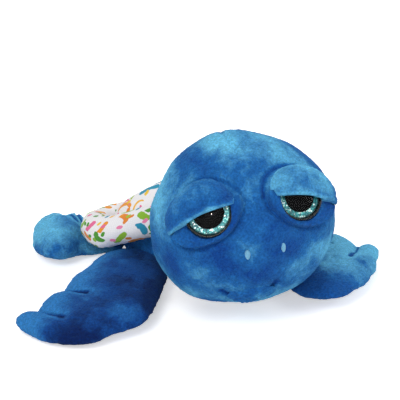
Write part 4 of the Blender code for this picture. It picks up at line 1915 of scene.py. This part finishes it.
        # Painted shade along the mouth's creases.
        dark, wide = self.mouth_shade
        for end in self.mouth:
            nap -= dark * bell(to_path(points, self.line(end))[0], wide)
        # Painted shade in the crease round each lid's inner end.
        place, wide = self.lid_shade_place
        for side, dark in zip((Side.RIGHT, Side.LEFT), self.lid_shade):
            local = moved(points, self.slanted(side).inverted())
            off = np.hypot(local[:, 0] / self.lid_half_width, local[:, 1] / self.lid_half_height)
            inner = (local[:, 1] > -0.004) & (local[:, 2] > self.before) & (-side.value * local[:, 0] > -0.004)
            nap -= dark * bell(off - place, wide) * inner
        return nap

    def cover(self) -> None:
        """The head's cover with its darts, creases and stroked pile."""
        up = np.radians(np.linspace(-self.pole, self.pole, self.rows))[:, None]
        turn = np.linspace(0, 2 * math.pi, self.columns, endpoint=False)[None, :]
        level = np.sin(up) * np.ones_like(turn)
        ways = np.stack([np.sin(turn) * np.cos(up), -np.cos(turn) * np.cos(up), level], -1).reshape(-1, 3)
        mesh = rows_mesh("head", self.surface(ways).reshape(self.rows, self.columns, 3))
        nap = self.nap(ways, points_of(mesh))
        carve(mesh, self.sewing())
        points = points_of(mesh)
        for side in Side:
            points = self.seated(points, side)
        set_points(mesh, self.leaned(points))
        set_values(mesh, "nap", nap)
        mesh.transform(self.frame)
        Piece("head_plush", self.finishes.head, "head", Slot.PLUSH, ("head_cover",), 0.85).place(mesh)

    def chin(self) -> None:
        """The pad under the mouth's crease."""
        half_width, half_height, rise = self.chin_size
        spot = self.spot(*self.chin_spot, Side.RIGHT)
        down = np.linspace(0.04, math.pi - 0.04, self.chin_rows)[:, None]
        turn = np.linspace(0, 2 * math.pi, self.chin_columns, endpoint=False)[None, :]
        out = np.sin(down) * np.ones_like(turn)
        plan = np.stack(
            [half_width * out * np.sin(turn), half_height * out * np.cos(turn), np.zeros_like(out)], -1
        )
        ways = moved(plan.reshape(-1, 3), spot)
        ways /= np.linalg.norm(ways, axis=1)[:, None]
        upper = (np.cos(down) > 0) * np.ones_like(turn)
        swell = np.where(upper, rise * (1 - out**2) ** 0.8, -self.chin_under * np.sqrt(1 - out**2)).reshape(-1)
        normal = np.array(spot.to_3x3() @ Vector((0, -math.sin(self.chin_tuck), math.cos(self.chin_tuck))))
        over = self.surface(ways) + normal * (swell - 0.0002)[:, None]
        mesh = rows_mesh("chin", over.reshape(*out.shape, 3))
        carve(mesh, plush_grain(61, 0.00020, 0.00014))
        set_values(mesh, "nap", np.full(len(mesh.vertices), 0.05))
        mesh.transform(self.frame)
        Piece("chin_plush", self.finishes.head, "head", Slot.PLUSH, ("chin_pad",), 0.7).place(mesh)

    def nostril(self, side: Side) -> None:
        """A nostril in satin stitch: threads laid side by side over a small oval.

        Args:
            side: the nostril's side.
        """
        half_width, half_height, rise = self.nostril_size
        threads, steps, sides = self.nostril_threads, self.thread_steps, self.thread_sides
        turns = [2 * math.pi * n / sides for n in range(sides)]
        thick = half_height / threads * 1.15
        work = bmesh.new()
        for i in range(threads):
            level = -1 + 2 * (i + 0.5) / threads
            reach = half_width * math.sqrt(1 - level**2)
            rows = []
            for k in range(steps + 1):
                share = -1 + 2 * k / steps
                along = math.sqrt(max(0.0, 1 - share**2 * 0.9))
                lift = rise * 1.1 * along * math.sqrt(1 - level**2 * 0.6) - 0.0002
                middle = Vector((reach * share, half_height * level, lift - 0.0004 * abs(share) ** 6))
                size = thick * (1 if abs(share) < 1 else 0.5)
                ring = [middle + Vector((0, size * math.cos(t), size * math.sin(t))) for t in turns]
                rows.append([work.verts.new(point) for point in ring])
            for a, b in zip(rows, rows[1:]):
                for n in range(sides):
                    m = (n + 1) % sides
                    work.faces.new((a[n], a[m], b[m], b[n]))
            work.faces.new(rows[0])
            work.faces.new(list(reversed(rows[-1])))
        bmesh.ops.recalc_face_normals(work, faces=work.faces)
        mesh = bpy.data.meshes.new("nostril")
        work.to_mesh(mesh)
        work.free()
        mesh.transform(self.frame @ self.spot(*self.nostril_spot, side))
        name, nodes = f"nostril_stitch_{side.word}", (f"nostril_{side.word}",)
        Piece(name, self.finishes.thread, "head", Slot.STITCH, nodes).place(mesh)

    def build(self) -> None:
        """Builds the head and its face."""
        self.cover()
        self.chin()
        for side in Side:
            self.nostril(side)
            Eye(self, side).build()


@dataclass
class Eye:
    """A glass-like safety eye between a padded lid and a flat patch."""

    head: Head
    side: Side
    radius: float = 0.0120
    rim: float = 0.0010
    pupil_radius: float = 0.0078
    sink: float = 0.0002
    cup_depth: float = 0.0024
    cup_floor: float = 0.0008
    fit: float = 0.0001
    iris_thickness: float = 0.0005
    pupil_thickness: float = 0.0004
    lens_rise: float = 0.0034
    lens_edge: float = 0.0005
    shank_radius: float = 0.0024
    shank_length: float = 0.0120
    lid_rise: float = 0.0110
    far_lid_rise: float = 0.0096
    patch_rise: float = 0.0034
    edge: float = 0.0005
    hem: float = 0.0032
    hem_drop: float = 0.0010
    hem_sag: float = 0.0026
    pulled_in: float = 0.12
    sew_gap: float = 0.0003
    turns: int = 72
    soft: float = 0.0002
    axis: float = 0.0005
    columns: int = 150
    rest: float = 0.0003
    lid_reach: float = 0.9985
    hem_taper: float = 2.6
    hem_fullness: float = 1.3
    hem_bluntness: float = 0.7
    # Painted highlights along the hem and over the cushion's crest: strength and width of each.
    lid_light: tuple = ((0.85, 0.0014), (0.3, 0.005))
    lid_back: float = 0.0055
    lid_seam: float = 0.0040
    lid_groove: tuple = (0.00045, 0.0009)
    patch_back: float = 0.0075
    patch_seam: float = 0.0022
    patch_groove: tuple = (0.0004, 0.0009)
    stitch: float = 0.0022

    @property
    def frame(self) -> Matrix:
        """The eye's middle on the head, z out of it."""
        return self.head.frame @ self.head.socket(self.side)

    @property
    def slanted(self) -> Matrix:
        """The lid's frame, its x along the lid's edge."""
        return self.head.frame @ self.head.slanted(self.side)

    def turned(self, name: str, profile: Sequence[tuple[float, float]]) -> Mesh:
        """A profile of radius and height turned about the eye's axis.

        Args:
            name: the mesh's name.
            profile: radius and height, point by point.

        Returns:
            The mesh, in place.
        """
        angles = np.linspace(0, 2 * math.pi, self.turns, endpoint=False)
        rows = [
            np.stack([r * np.cos(angles), r * np.sin(angles), np.full(self.turns, z)], -1) for r, z in profile
        ]
        mesh = rows_mesh(name, np.array(rows))
        mesh.transform(self.frame)
        return mesh

    def add(
        self, part: str, mesh: Mesh, material: Material, slot: Slot, node: str, fill: Optional[float] = None
    ) -> None:
        """Places one of the eye's pieces on the head."""
        word = self.side.word
        Piece(f"{part}_{word}", material, "head", slot, (f"{node}_{word}",), fill).place(mesh)

    def hard_parts(self) -> None:
        """The cup with its shank, the iris, the pupil and the lens."""
        finishes = self.head.finishes
        back, soft, axis = -self.sink, self.soft, self.axis
        top, floor = back + self.cup_depth, back + self.cup_floor
        inner = self.radius - self.rim
        cup = [
            (axis, back - self.shank_length),
            (self.shank_radius - soft, back - self.shank_length),
            (self.shank_radius, back - self.shank_length + soft),
            (self.shank_radius, back),
            (self.radius - soft, back),
            (self.radius, back + soft),
            (self.radius, top - soft),
            (self.radius - soft, top),
            (inner + soft, top),
            (inner, top - soft),
            (inner, floor),
            (axis, floor),
        ]
        self.add("eye_shell", self.turned("cup", cup), finishes.black, Slot.BLACK, "eye_cup")
        low = floor + self.fit
        high = low + self.iris_thickness
        reach = inner - self.fit
        iris = [(axis, low), (reach, low), (reach, high)]
        iris += [(reach * (1 - s) + axis * s, high) for s in np.linspace(0, 1, 12)[1:]]
        mesh = self.turned("iris", iris)
        away = np.repeat([r for r, _ in iris], self.turns)
        set_values(mesh, "rim", np.clip((away - self.pupil_radius) / (reach - self.pupil_radius), 0, 1))
        self.add("eye_glitter", mesh, finishes.glitter, Slot.GLITTER, "eye_iris")
        low = high + self.fit
        high = low + self.pupil_thickness
        wide, bevel = self.pupil_radius, 0.0001
        pupil = [(axis, low), (wide, low), (wide, high - bevel), (wide - bevel, high), (axis, high)]
        self.add("eye_black", self.turned("pupil", pupil), finishes.pupil, Slot.BLACK, "eye_pupil")
        low = top + self.fit
        foot = low + self.lens_edge
        lens = [(axis, low), (self.radius, low)]
        for a in np.radians(np.linspace(0, 88, 24)):
            lens.append((self.radius * math.cos(a), foot + self.lens_rise * math.sin(a)))
        self.add("eye_dome", self.turned("lens", lens), finishes.clear, Slot.CLEAR, "eye_lens")

    def glass(self, x: Array, y: Array) -> Array:
        """The height of the eye's outer surface in the lid's frame, and minus one centimetre away from the eye.

        Args:
            x: places along the lid's edge.
            y: places up from it.

        Returns:
            The heights.
        """
        to_lens = self.head.socket(self.side).inverted() @ self.head.slanted(self.side)
        level = np.full(x.shape, 0.004)
        foot = self.cup_depth - self.sink + self.fit + self.lens_edge
        for _ in range(4):
            seen = moved(np.stack([x, y, level], -1).reshape(-1, 3), to_lens).reshape(*x.shape, 3)
            away = np.hypot(seen[..., 0], seen[..., 1]) / self.radius
            dome = foot + self.lens_rise * np.sqrt(np.maximum(0, 1 - away**2))
            level = level + (dome - seen[..., 2])
        return np.where(away < 1.0, level, -0.01)

    def lid(self) -> None:
        """The padded upper lid: a half cushion whose soft hem rolls in and rests on the eye."""
        a, b = self.head.lid_half_width, self.head.lid_half_height
        rise = self.lid_rise if self.side is Side.RIGHT else self.far_lid_rise
        u = -self.lid_reach * np.cos(np.linspace(0, math.pi, self.columns))
        inner = -self.side.value * u
        x = a * u * (1 - self.pulled_in * np.clip(inner, 0, 1) ** 2)
        room = np.sqrt(np.maximum(0, 1 - u**2))
        edge = self.edge + (self.hem_line(inner) - self.edge) * np.clip(room * self.hem_taper, 0, 1)
        top = np.maximum(b * room, edge + 0.0002)
        rows = []

        def cushion(y: Array) -> Array:
            """The cushion's height over the head's plane."""
            return rise * np.sqrt(np.maximum(0, 1 - u**2 - (y / b) ** 2))

        def put(y: Array, level: Array) -> None:
            """Adds a row, kept within the cushion's top."""
            rows.append(np.stack([x, np.minimum(y, top), level], -1))

        hem = self.hem * np.minimum(1.0, room * self.hem_fullness)
        crest = cushion(edge + 0.5 * hem) + self.rest
        under = np.maximum(self.underneath(x, edge + 0.0010), np.minimum(0.0012 * room, crest))
        under = np.minimum(under, crest - 0.25 * hem)
        deep = np.maximum(self.underneath(x, edge + self.lid_seam), -0.0010)
        deep = np.minimum(deep, crest - 0.25 * hem)
        for turn in np.linspace(-0.5 * math.pi, 0.5 * math.pi, 17):
            blunt = self.hem_bluntness if turn > 0 else 1
            bulge = 0.5 * hem * (1 - math.cos(turn) ** blunt)
            put(edge + bulge, (crest + under) / 2 + (crest - under) / 2 * math.sin(turn))
        start = edge + 0.5 * hem
        for share in np.linspace(0.02, 1.0, 60):
            y = np.minimum(start + share * np.maximum(top - start, 0.0), top)
            put(y, cushion(y) + self.rest * max(0.0, 1 - share / 0.12))
        for low in (0.0008, 0.002, 0.004, self.lid_back):
            put(top, cushion(top) - low)
        behind = edge + self.lid_seam * room
        for share in np.linspace(1, 0, 14):
            put(behind + share * np.maximum(top - behind, 0.0), np.full(self.columns, -self.lid_back))
        for share in (0.33, 0.66, 1.0):
            put(behind, -self.lid_back + (deep + self.lid_back) * share)
        mesh = self.blanket("lid", np.array(rows))
        grain = plush_grain(71 + self.side.value, 0.0003, 0.00008)
        seam_at = edge + self.lid_seam
        seam = np.stack([x, seam_at, cushion(seam_at)], -1)[6:-6:4]

        def over_edge(points: Array) -> Array:
            """How far up the lid points are from its drooping edge."""
            return points[:, 1] - np.interp(points[:, 0], x, edge)

        def carving(points: Array, normals: Array) -> Array:
            """The hem's stitched line and the grain."""
            held = np.clip(over_edge(points) / 0.002, 0.15, 1)
            return grain(points, normals) * held + groove(points, seam, *self.lid_groove, stitch=self.stitch)

        carve(mesh, carving)
        points = points_of(mesh)
        up = over_edge(points)
        # Painted highlights along the hem and over the cushion's crest.
        (hem, wide), (crest, broad) = self.lid_light
        nap = hem * bell(up, wide) + crest * bell(points[:, 1] - b, broad)
        nap += self.lid_nap * np.clip(up / 0.003, 0, 1)
        set_values(mesh, "nap", nap)
        mesh.transform(self.slanted)
        self.add("lid_plush", mesh, self.head.finishes.lid, Slot.PLUSH, "eyelid", 0.8)

    @property
    def lid_nap(self) -> float:
        """How the lid's pile lies: the near one is stroked dark, the far one light."""
        return -0.60 if self.side is Side.RIGHT else 0.50

    def hem_line(self, inner: Array) -> Array:
        """Where the lid's hem runs over the eye, for shares from its outer end at -1 to its inner end at 1.

        Args:
            inner: the shares.

        Returns:
            How far up from the lid's middle it runs.
        """
        low = np.clip((inner + 1) / 0.7, 0, 1)
        sag = np.clip((inner + 0.1) / 1.1, 0, 1)
        return self.edge - self.hem_drop * low - self.hem_sag * sag * sag * (3 - 2 * sag)

    def underneath(self, x: Array, y: Array) -> Array:
        """The height that the hem rests on: the eye, or the patch beside it.

        Args:
            x: places along the lid's edge.
            y: places up from it.

        Returns:
            The heights.
        """
        square = (x / self.head.lid_half_width) ** 2 + (y / self.head.patch_half_height) ** 2
        pad = self.patch_rise * np.sqrt(np.maximum(0, 1 - square)) * (y < self.edge)
        return np.maximum(self.glass(x, y), pad) + self.rest

    def patch(self) -> None:
        """The flat patch round the lower half of the eye, its edge sewn to the head."""
        a, b, rise = self.head.lid_half_width, self.head.patch_half_height, self.patch_rise
        shift = -self.side.value * self.head.lid_outward
        angles = np.linspace(math.pi - 0.02, 2 * math.pi + 0.02, self.columns)
        c, s = np.cos(angles), np.sin(angles)
        hole = self.radius + self.sew_gap
        square, middle = (c / a) ** 2 + (s / b) ** 2, shift * c / a**2
        reach = (-middle + np.sqrt(middle**2 - square * ((shift / a) ** 2 - 1))) / square
        top = self.edge - self.sew_gap
        rows = []

        def put(away: Array, level: Array) -> None:
            """Adds a row at the given distances from the eye's middle."""
            rows.append(np.stack([shift + away * c, np.minimum(away * s, top), level], -1))

        def pad(away: Array) -> Array:
            """The patch's height over the head's plane."""
            x, y = (shift + away * c) / a, np.minimum(away * s, top) / b
            return rise * np.sqrt(np.maximum(0, 1 - 0.99 * (x**2 + y**2)))

        inside = np.full(self.columns, hole)
        for low in (0.0045, 0.002, 0.0006):
            put(inside, pad(inside) - low)
        for share in np.linspace(0, 1, 40):
            away = hole + (reach - hole) * share
            put(away, pad(away) - 0.0004 * math.exp(-((share / 0.05) ** 2)))
        for low in (0.0008, 0.002, 0.0045, 0.007):
            put(reach, np.full(self.columns, -low))
        for share in np.linspace(1, 0, 8):
            put(hole + (reach - hole) * share, np.full(self.columns, -self.patch_back))
        mesh = self.blanket("patch", np.array(rows))
        grain = plush_grain(81 + self.side.value, 0.0002, 0.00007)
        sewn = reach - self.patch_seam
        seam = [(shift + r * u, min(r * v, top), 0.0014) for r, u, v in zip(sewn[::4], c[::4], s[::4])]

        def carving(points: Array, normals: Array) -> Array:
            """The sewn edge and the grain."""
            return grain(points, normals) + groove(points, seam, *self.patch_groove, stitch=self.stitch)

        carve(mesh, carving)
        set_values(mesh, "nap", np.full(len(mesh.vertices), -0.15))
        mesh.transform(self.slanted)
        self.add("patch_plush", mesh, self.head.finishes.lid, Slot.PLUSH, "eye_patch", 0.3)

    @staticmethod
    def blanket(name: str, grid: Array) -> Mesh:
        """A closed mesh from rows that run round a pad, each open row ending at its tips.

        Args:
            name: the mesh's name.
            grid: the rows, the last of which meets the first.

        Returns:
            The mesh, its two ends closed.
        """
        return rows_mesh(name, np.transpose(grid, (1, 0, 2)))

    def build(self) -> None:
        """Builds the eye, its lid and its patch."""
        self.hard_parts()
        self.lid()
        self.patch()


@dataclass(frozen=True)
class Lamp:
    """A square soft lamp: its place, the length of its sides, and how bright it alone makes a white surface."""

    name: str
    place: tuple
    size: float
    level: float

    def build(self, aim: Sequence[float]) -> None:
        """Sets the lamp up, aimed at a place.

        Args:
            aim: the place.
        """
        data = bpy.data.lights.new(self.name, "AREA")
        data.size = self.size
        way = Vector(self.place) - Vector(aim)
        data.energy = self.level * math.pi**2 * way.length_squared
        item = bpy.data.objects.new(self.name, data)
        item.location = self.place
        item.rotation_mode = "QUATERNION"
        item.rotation_quaternion = way.to_track_quat("Z", "Y")
        bpy.context.scene.collection.objects.link(item)


@dataclass
class Studio:
    """A plain pale floor, soft lamps and the camera at the photograph's viewing angle."""

    azimuth: float = -23.0
    elevation: float = 24.0
    distance: float = 1.0
    target: tuple = (0.030, -0.008, 0.0)
    target_pixel: tuple = (241.0, 250.0)
    image: float = 400.0
    pixels_focal: float = 1785.7
    sensor: float = 36.0
    surround: float = 0.46
    floor_tones: tuple[str, str] = ("F4F4F4", "F8F8F8")
    floor_glow: float = 0.50
    floor_reach: float = 3.0
    aim: tuple = (0.0, -0.05, 0.04)
    lamps: tuple = (
        Lamp("key lamp", (-0.75, -0.85, 1.15), 0.7, 0.42),
        Lamp("fill lamp", (0.95, -0.75, 0.75), 0.8, 0.22),
        Lamp("back lamp", (0.1, 0.9, 1.1), 0.7, 0.20),
        Lamp("near catch lamp", (-0.444, -0.890, 0.468), 0.07, 0.12),
        Lamp("far catch lamp", (0.936, -0.130, 0.400), 0.06, 0.07),
    )

    def camera(self) -> None:
        """The camera, aimed so that the target falls on its place in the picture."""
        a, e = math.radians(self.azimuth), math.radians(self.elevation)
        back = Vector((math.sin(a) * math.cos(e), -math.cos(a) * math.cos(e), math.sin(e)))
        right = Vector((math.cos(a), math.sin(a), 0))
        up = back.cross(right)
        middle = self.image / 2
        across, along = (middle - place for place in self.target_pixel)
        aim = -back * self.pixels_focal + right * across - up * along
        data = bpy.data.cameras.new("camera")
        data.sensor_width = self.sensor
        data.lens = self.sensor * self.pixels_focal / self.image
        data.clip_start, data.clip_end = 0.05, 20.0
        item = bpy.data.objects.new("camera", data)
        item.location = Vector(self.target) + back * self.distance
        item.rotation_mode = "QUATERNION"
        item.rotation_quaternion = aim.to_track_quat("-Z", "Y")
        bpy.context.scene.collection.objects.link(item)
        bpy.context.scene.camera = item

    def world(self) -> None:
        """An even surround that shows as white."""
        world = bpy.data.worlds.new("surround")
        bpy.context.scene.world = world
        world.use_nodes = True
        board = Board(world.node_tree)
        path = board.put("LightPath")
        through = board.math("MAXIMUM", path.outputs["Is Glossy Ray"], path.outputs["Is Transmission Ray"])
        seen = board.math("MAXIMUM", path.outputs["Is Camera Ray"], through)
        strength = board.math("MULTIPLY_ADD", seen, 1.0 - self.surround, self.surround)
        board.fill(world.node_tree.nodes["Background"], color=(1, 1, 1, 1), strength=strength)

    def floor(self) -> None:
        """A white floor that keeps the toy's shadow."""
        mesh = bpy.data.meshes.new("floor")
        far = self.floor_reach
        mesh.from_pydata([(-far, -far, 0), (far, -far, 0), (far, far, 0), (-far, far, 0)], [], [(0, 1, 2, 3)])
        material, board, shader = new_material("studio floor")
        speck = board.noise(place_of(board), 60.0)
        tone = board.ramp(speck["Fac"], ((0.0, self.floor_tones[0]), (1.0, self.floor_tones[1])))
        board.fill(shader, base_color=tone, roughness=1.0, specular_ior_level=0.0)
        path = board.put("LightPath")
        glow = board.math("MULTIPLY", path.outputs["Is Camera Ray"], self.floor_glow)
        board.fill(shader, emission_color=(1, 1, 1, 1), emission_strength=glow)
        mesh.materials.append(material)
        item = bpy.data.objects.new("floor", mesh)
        bpy.context.scene.collection.objects.link(item)

    def build(self) -> None:
        """Builds the studio."""
        self.camera()
        self.world()
        self.floor()
        for lamp in self.lamps:
            lamp.build(self.aim)
        bpy.context.scene.view_settings.view_transform = "Standard"


def dress_carried_nodes(finishes: Finishes) -> None:
    """Gives the solids that stay, all of them inside the covers, their own finishes.

    Args:
        finishes: the finishes.
    """
    kinds = {"pellet_bag": finishes.bag, "pellets": finishes.pellets}
    kinds |= {name: finishes.fibre for name in ("body_stuffing", "head_stuffing")}
    for side in Side:
        kinds[f"eye_washer_{side.word}"] = finishes.black
        kinds |= {f"{end}_stuffing_{side.word}": finishes.fibre for end in ("front", "rear")}
    for name, material in kinds.items():
        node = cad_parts[name]
        for slot in node.material_slots:
            slot.material = material
        LOG.info("dressed %s in %s", name, material.name)


def main() -> None:
    """Builds the turtle and its studio."""
    logging.basicConfig(level=logging.INFO, format="%(name)s: %(message)s")
    Studio().build()
    finishes = Finishes.make()
    Shell(finishes).build()
    head = Head(finishes)
    Neck(finishes, Vector(head.neck)).build()
    head.build()
    flippers = (
        (FRONT_RIGHT, "front", Side.RIGHT, finishes.near, 101),
        (FRONT_LEFT, "front", Side.LEFT, finishes.limb, 111),
        (REAR_BOTH, "rear", Side.RIGHT, finishes.rear, 121),
        (REAR_BOTH, "rear", Side.LEFT, finishes.rear, 131),
    )
    for each in flippers:
        Flipper(finishes, *each).build()
    dress_carried_nodes(finishes)


if __name__ == "__main__":
    main()
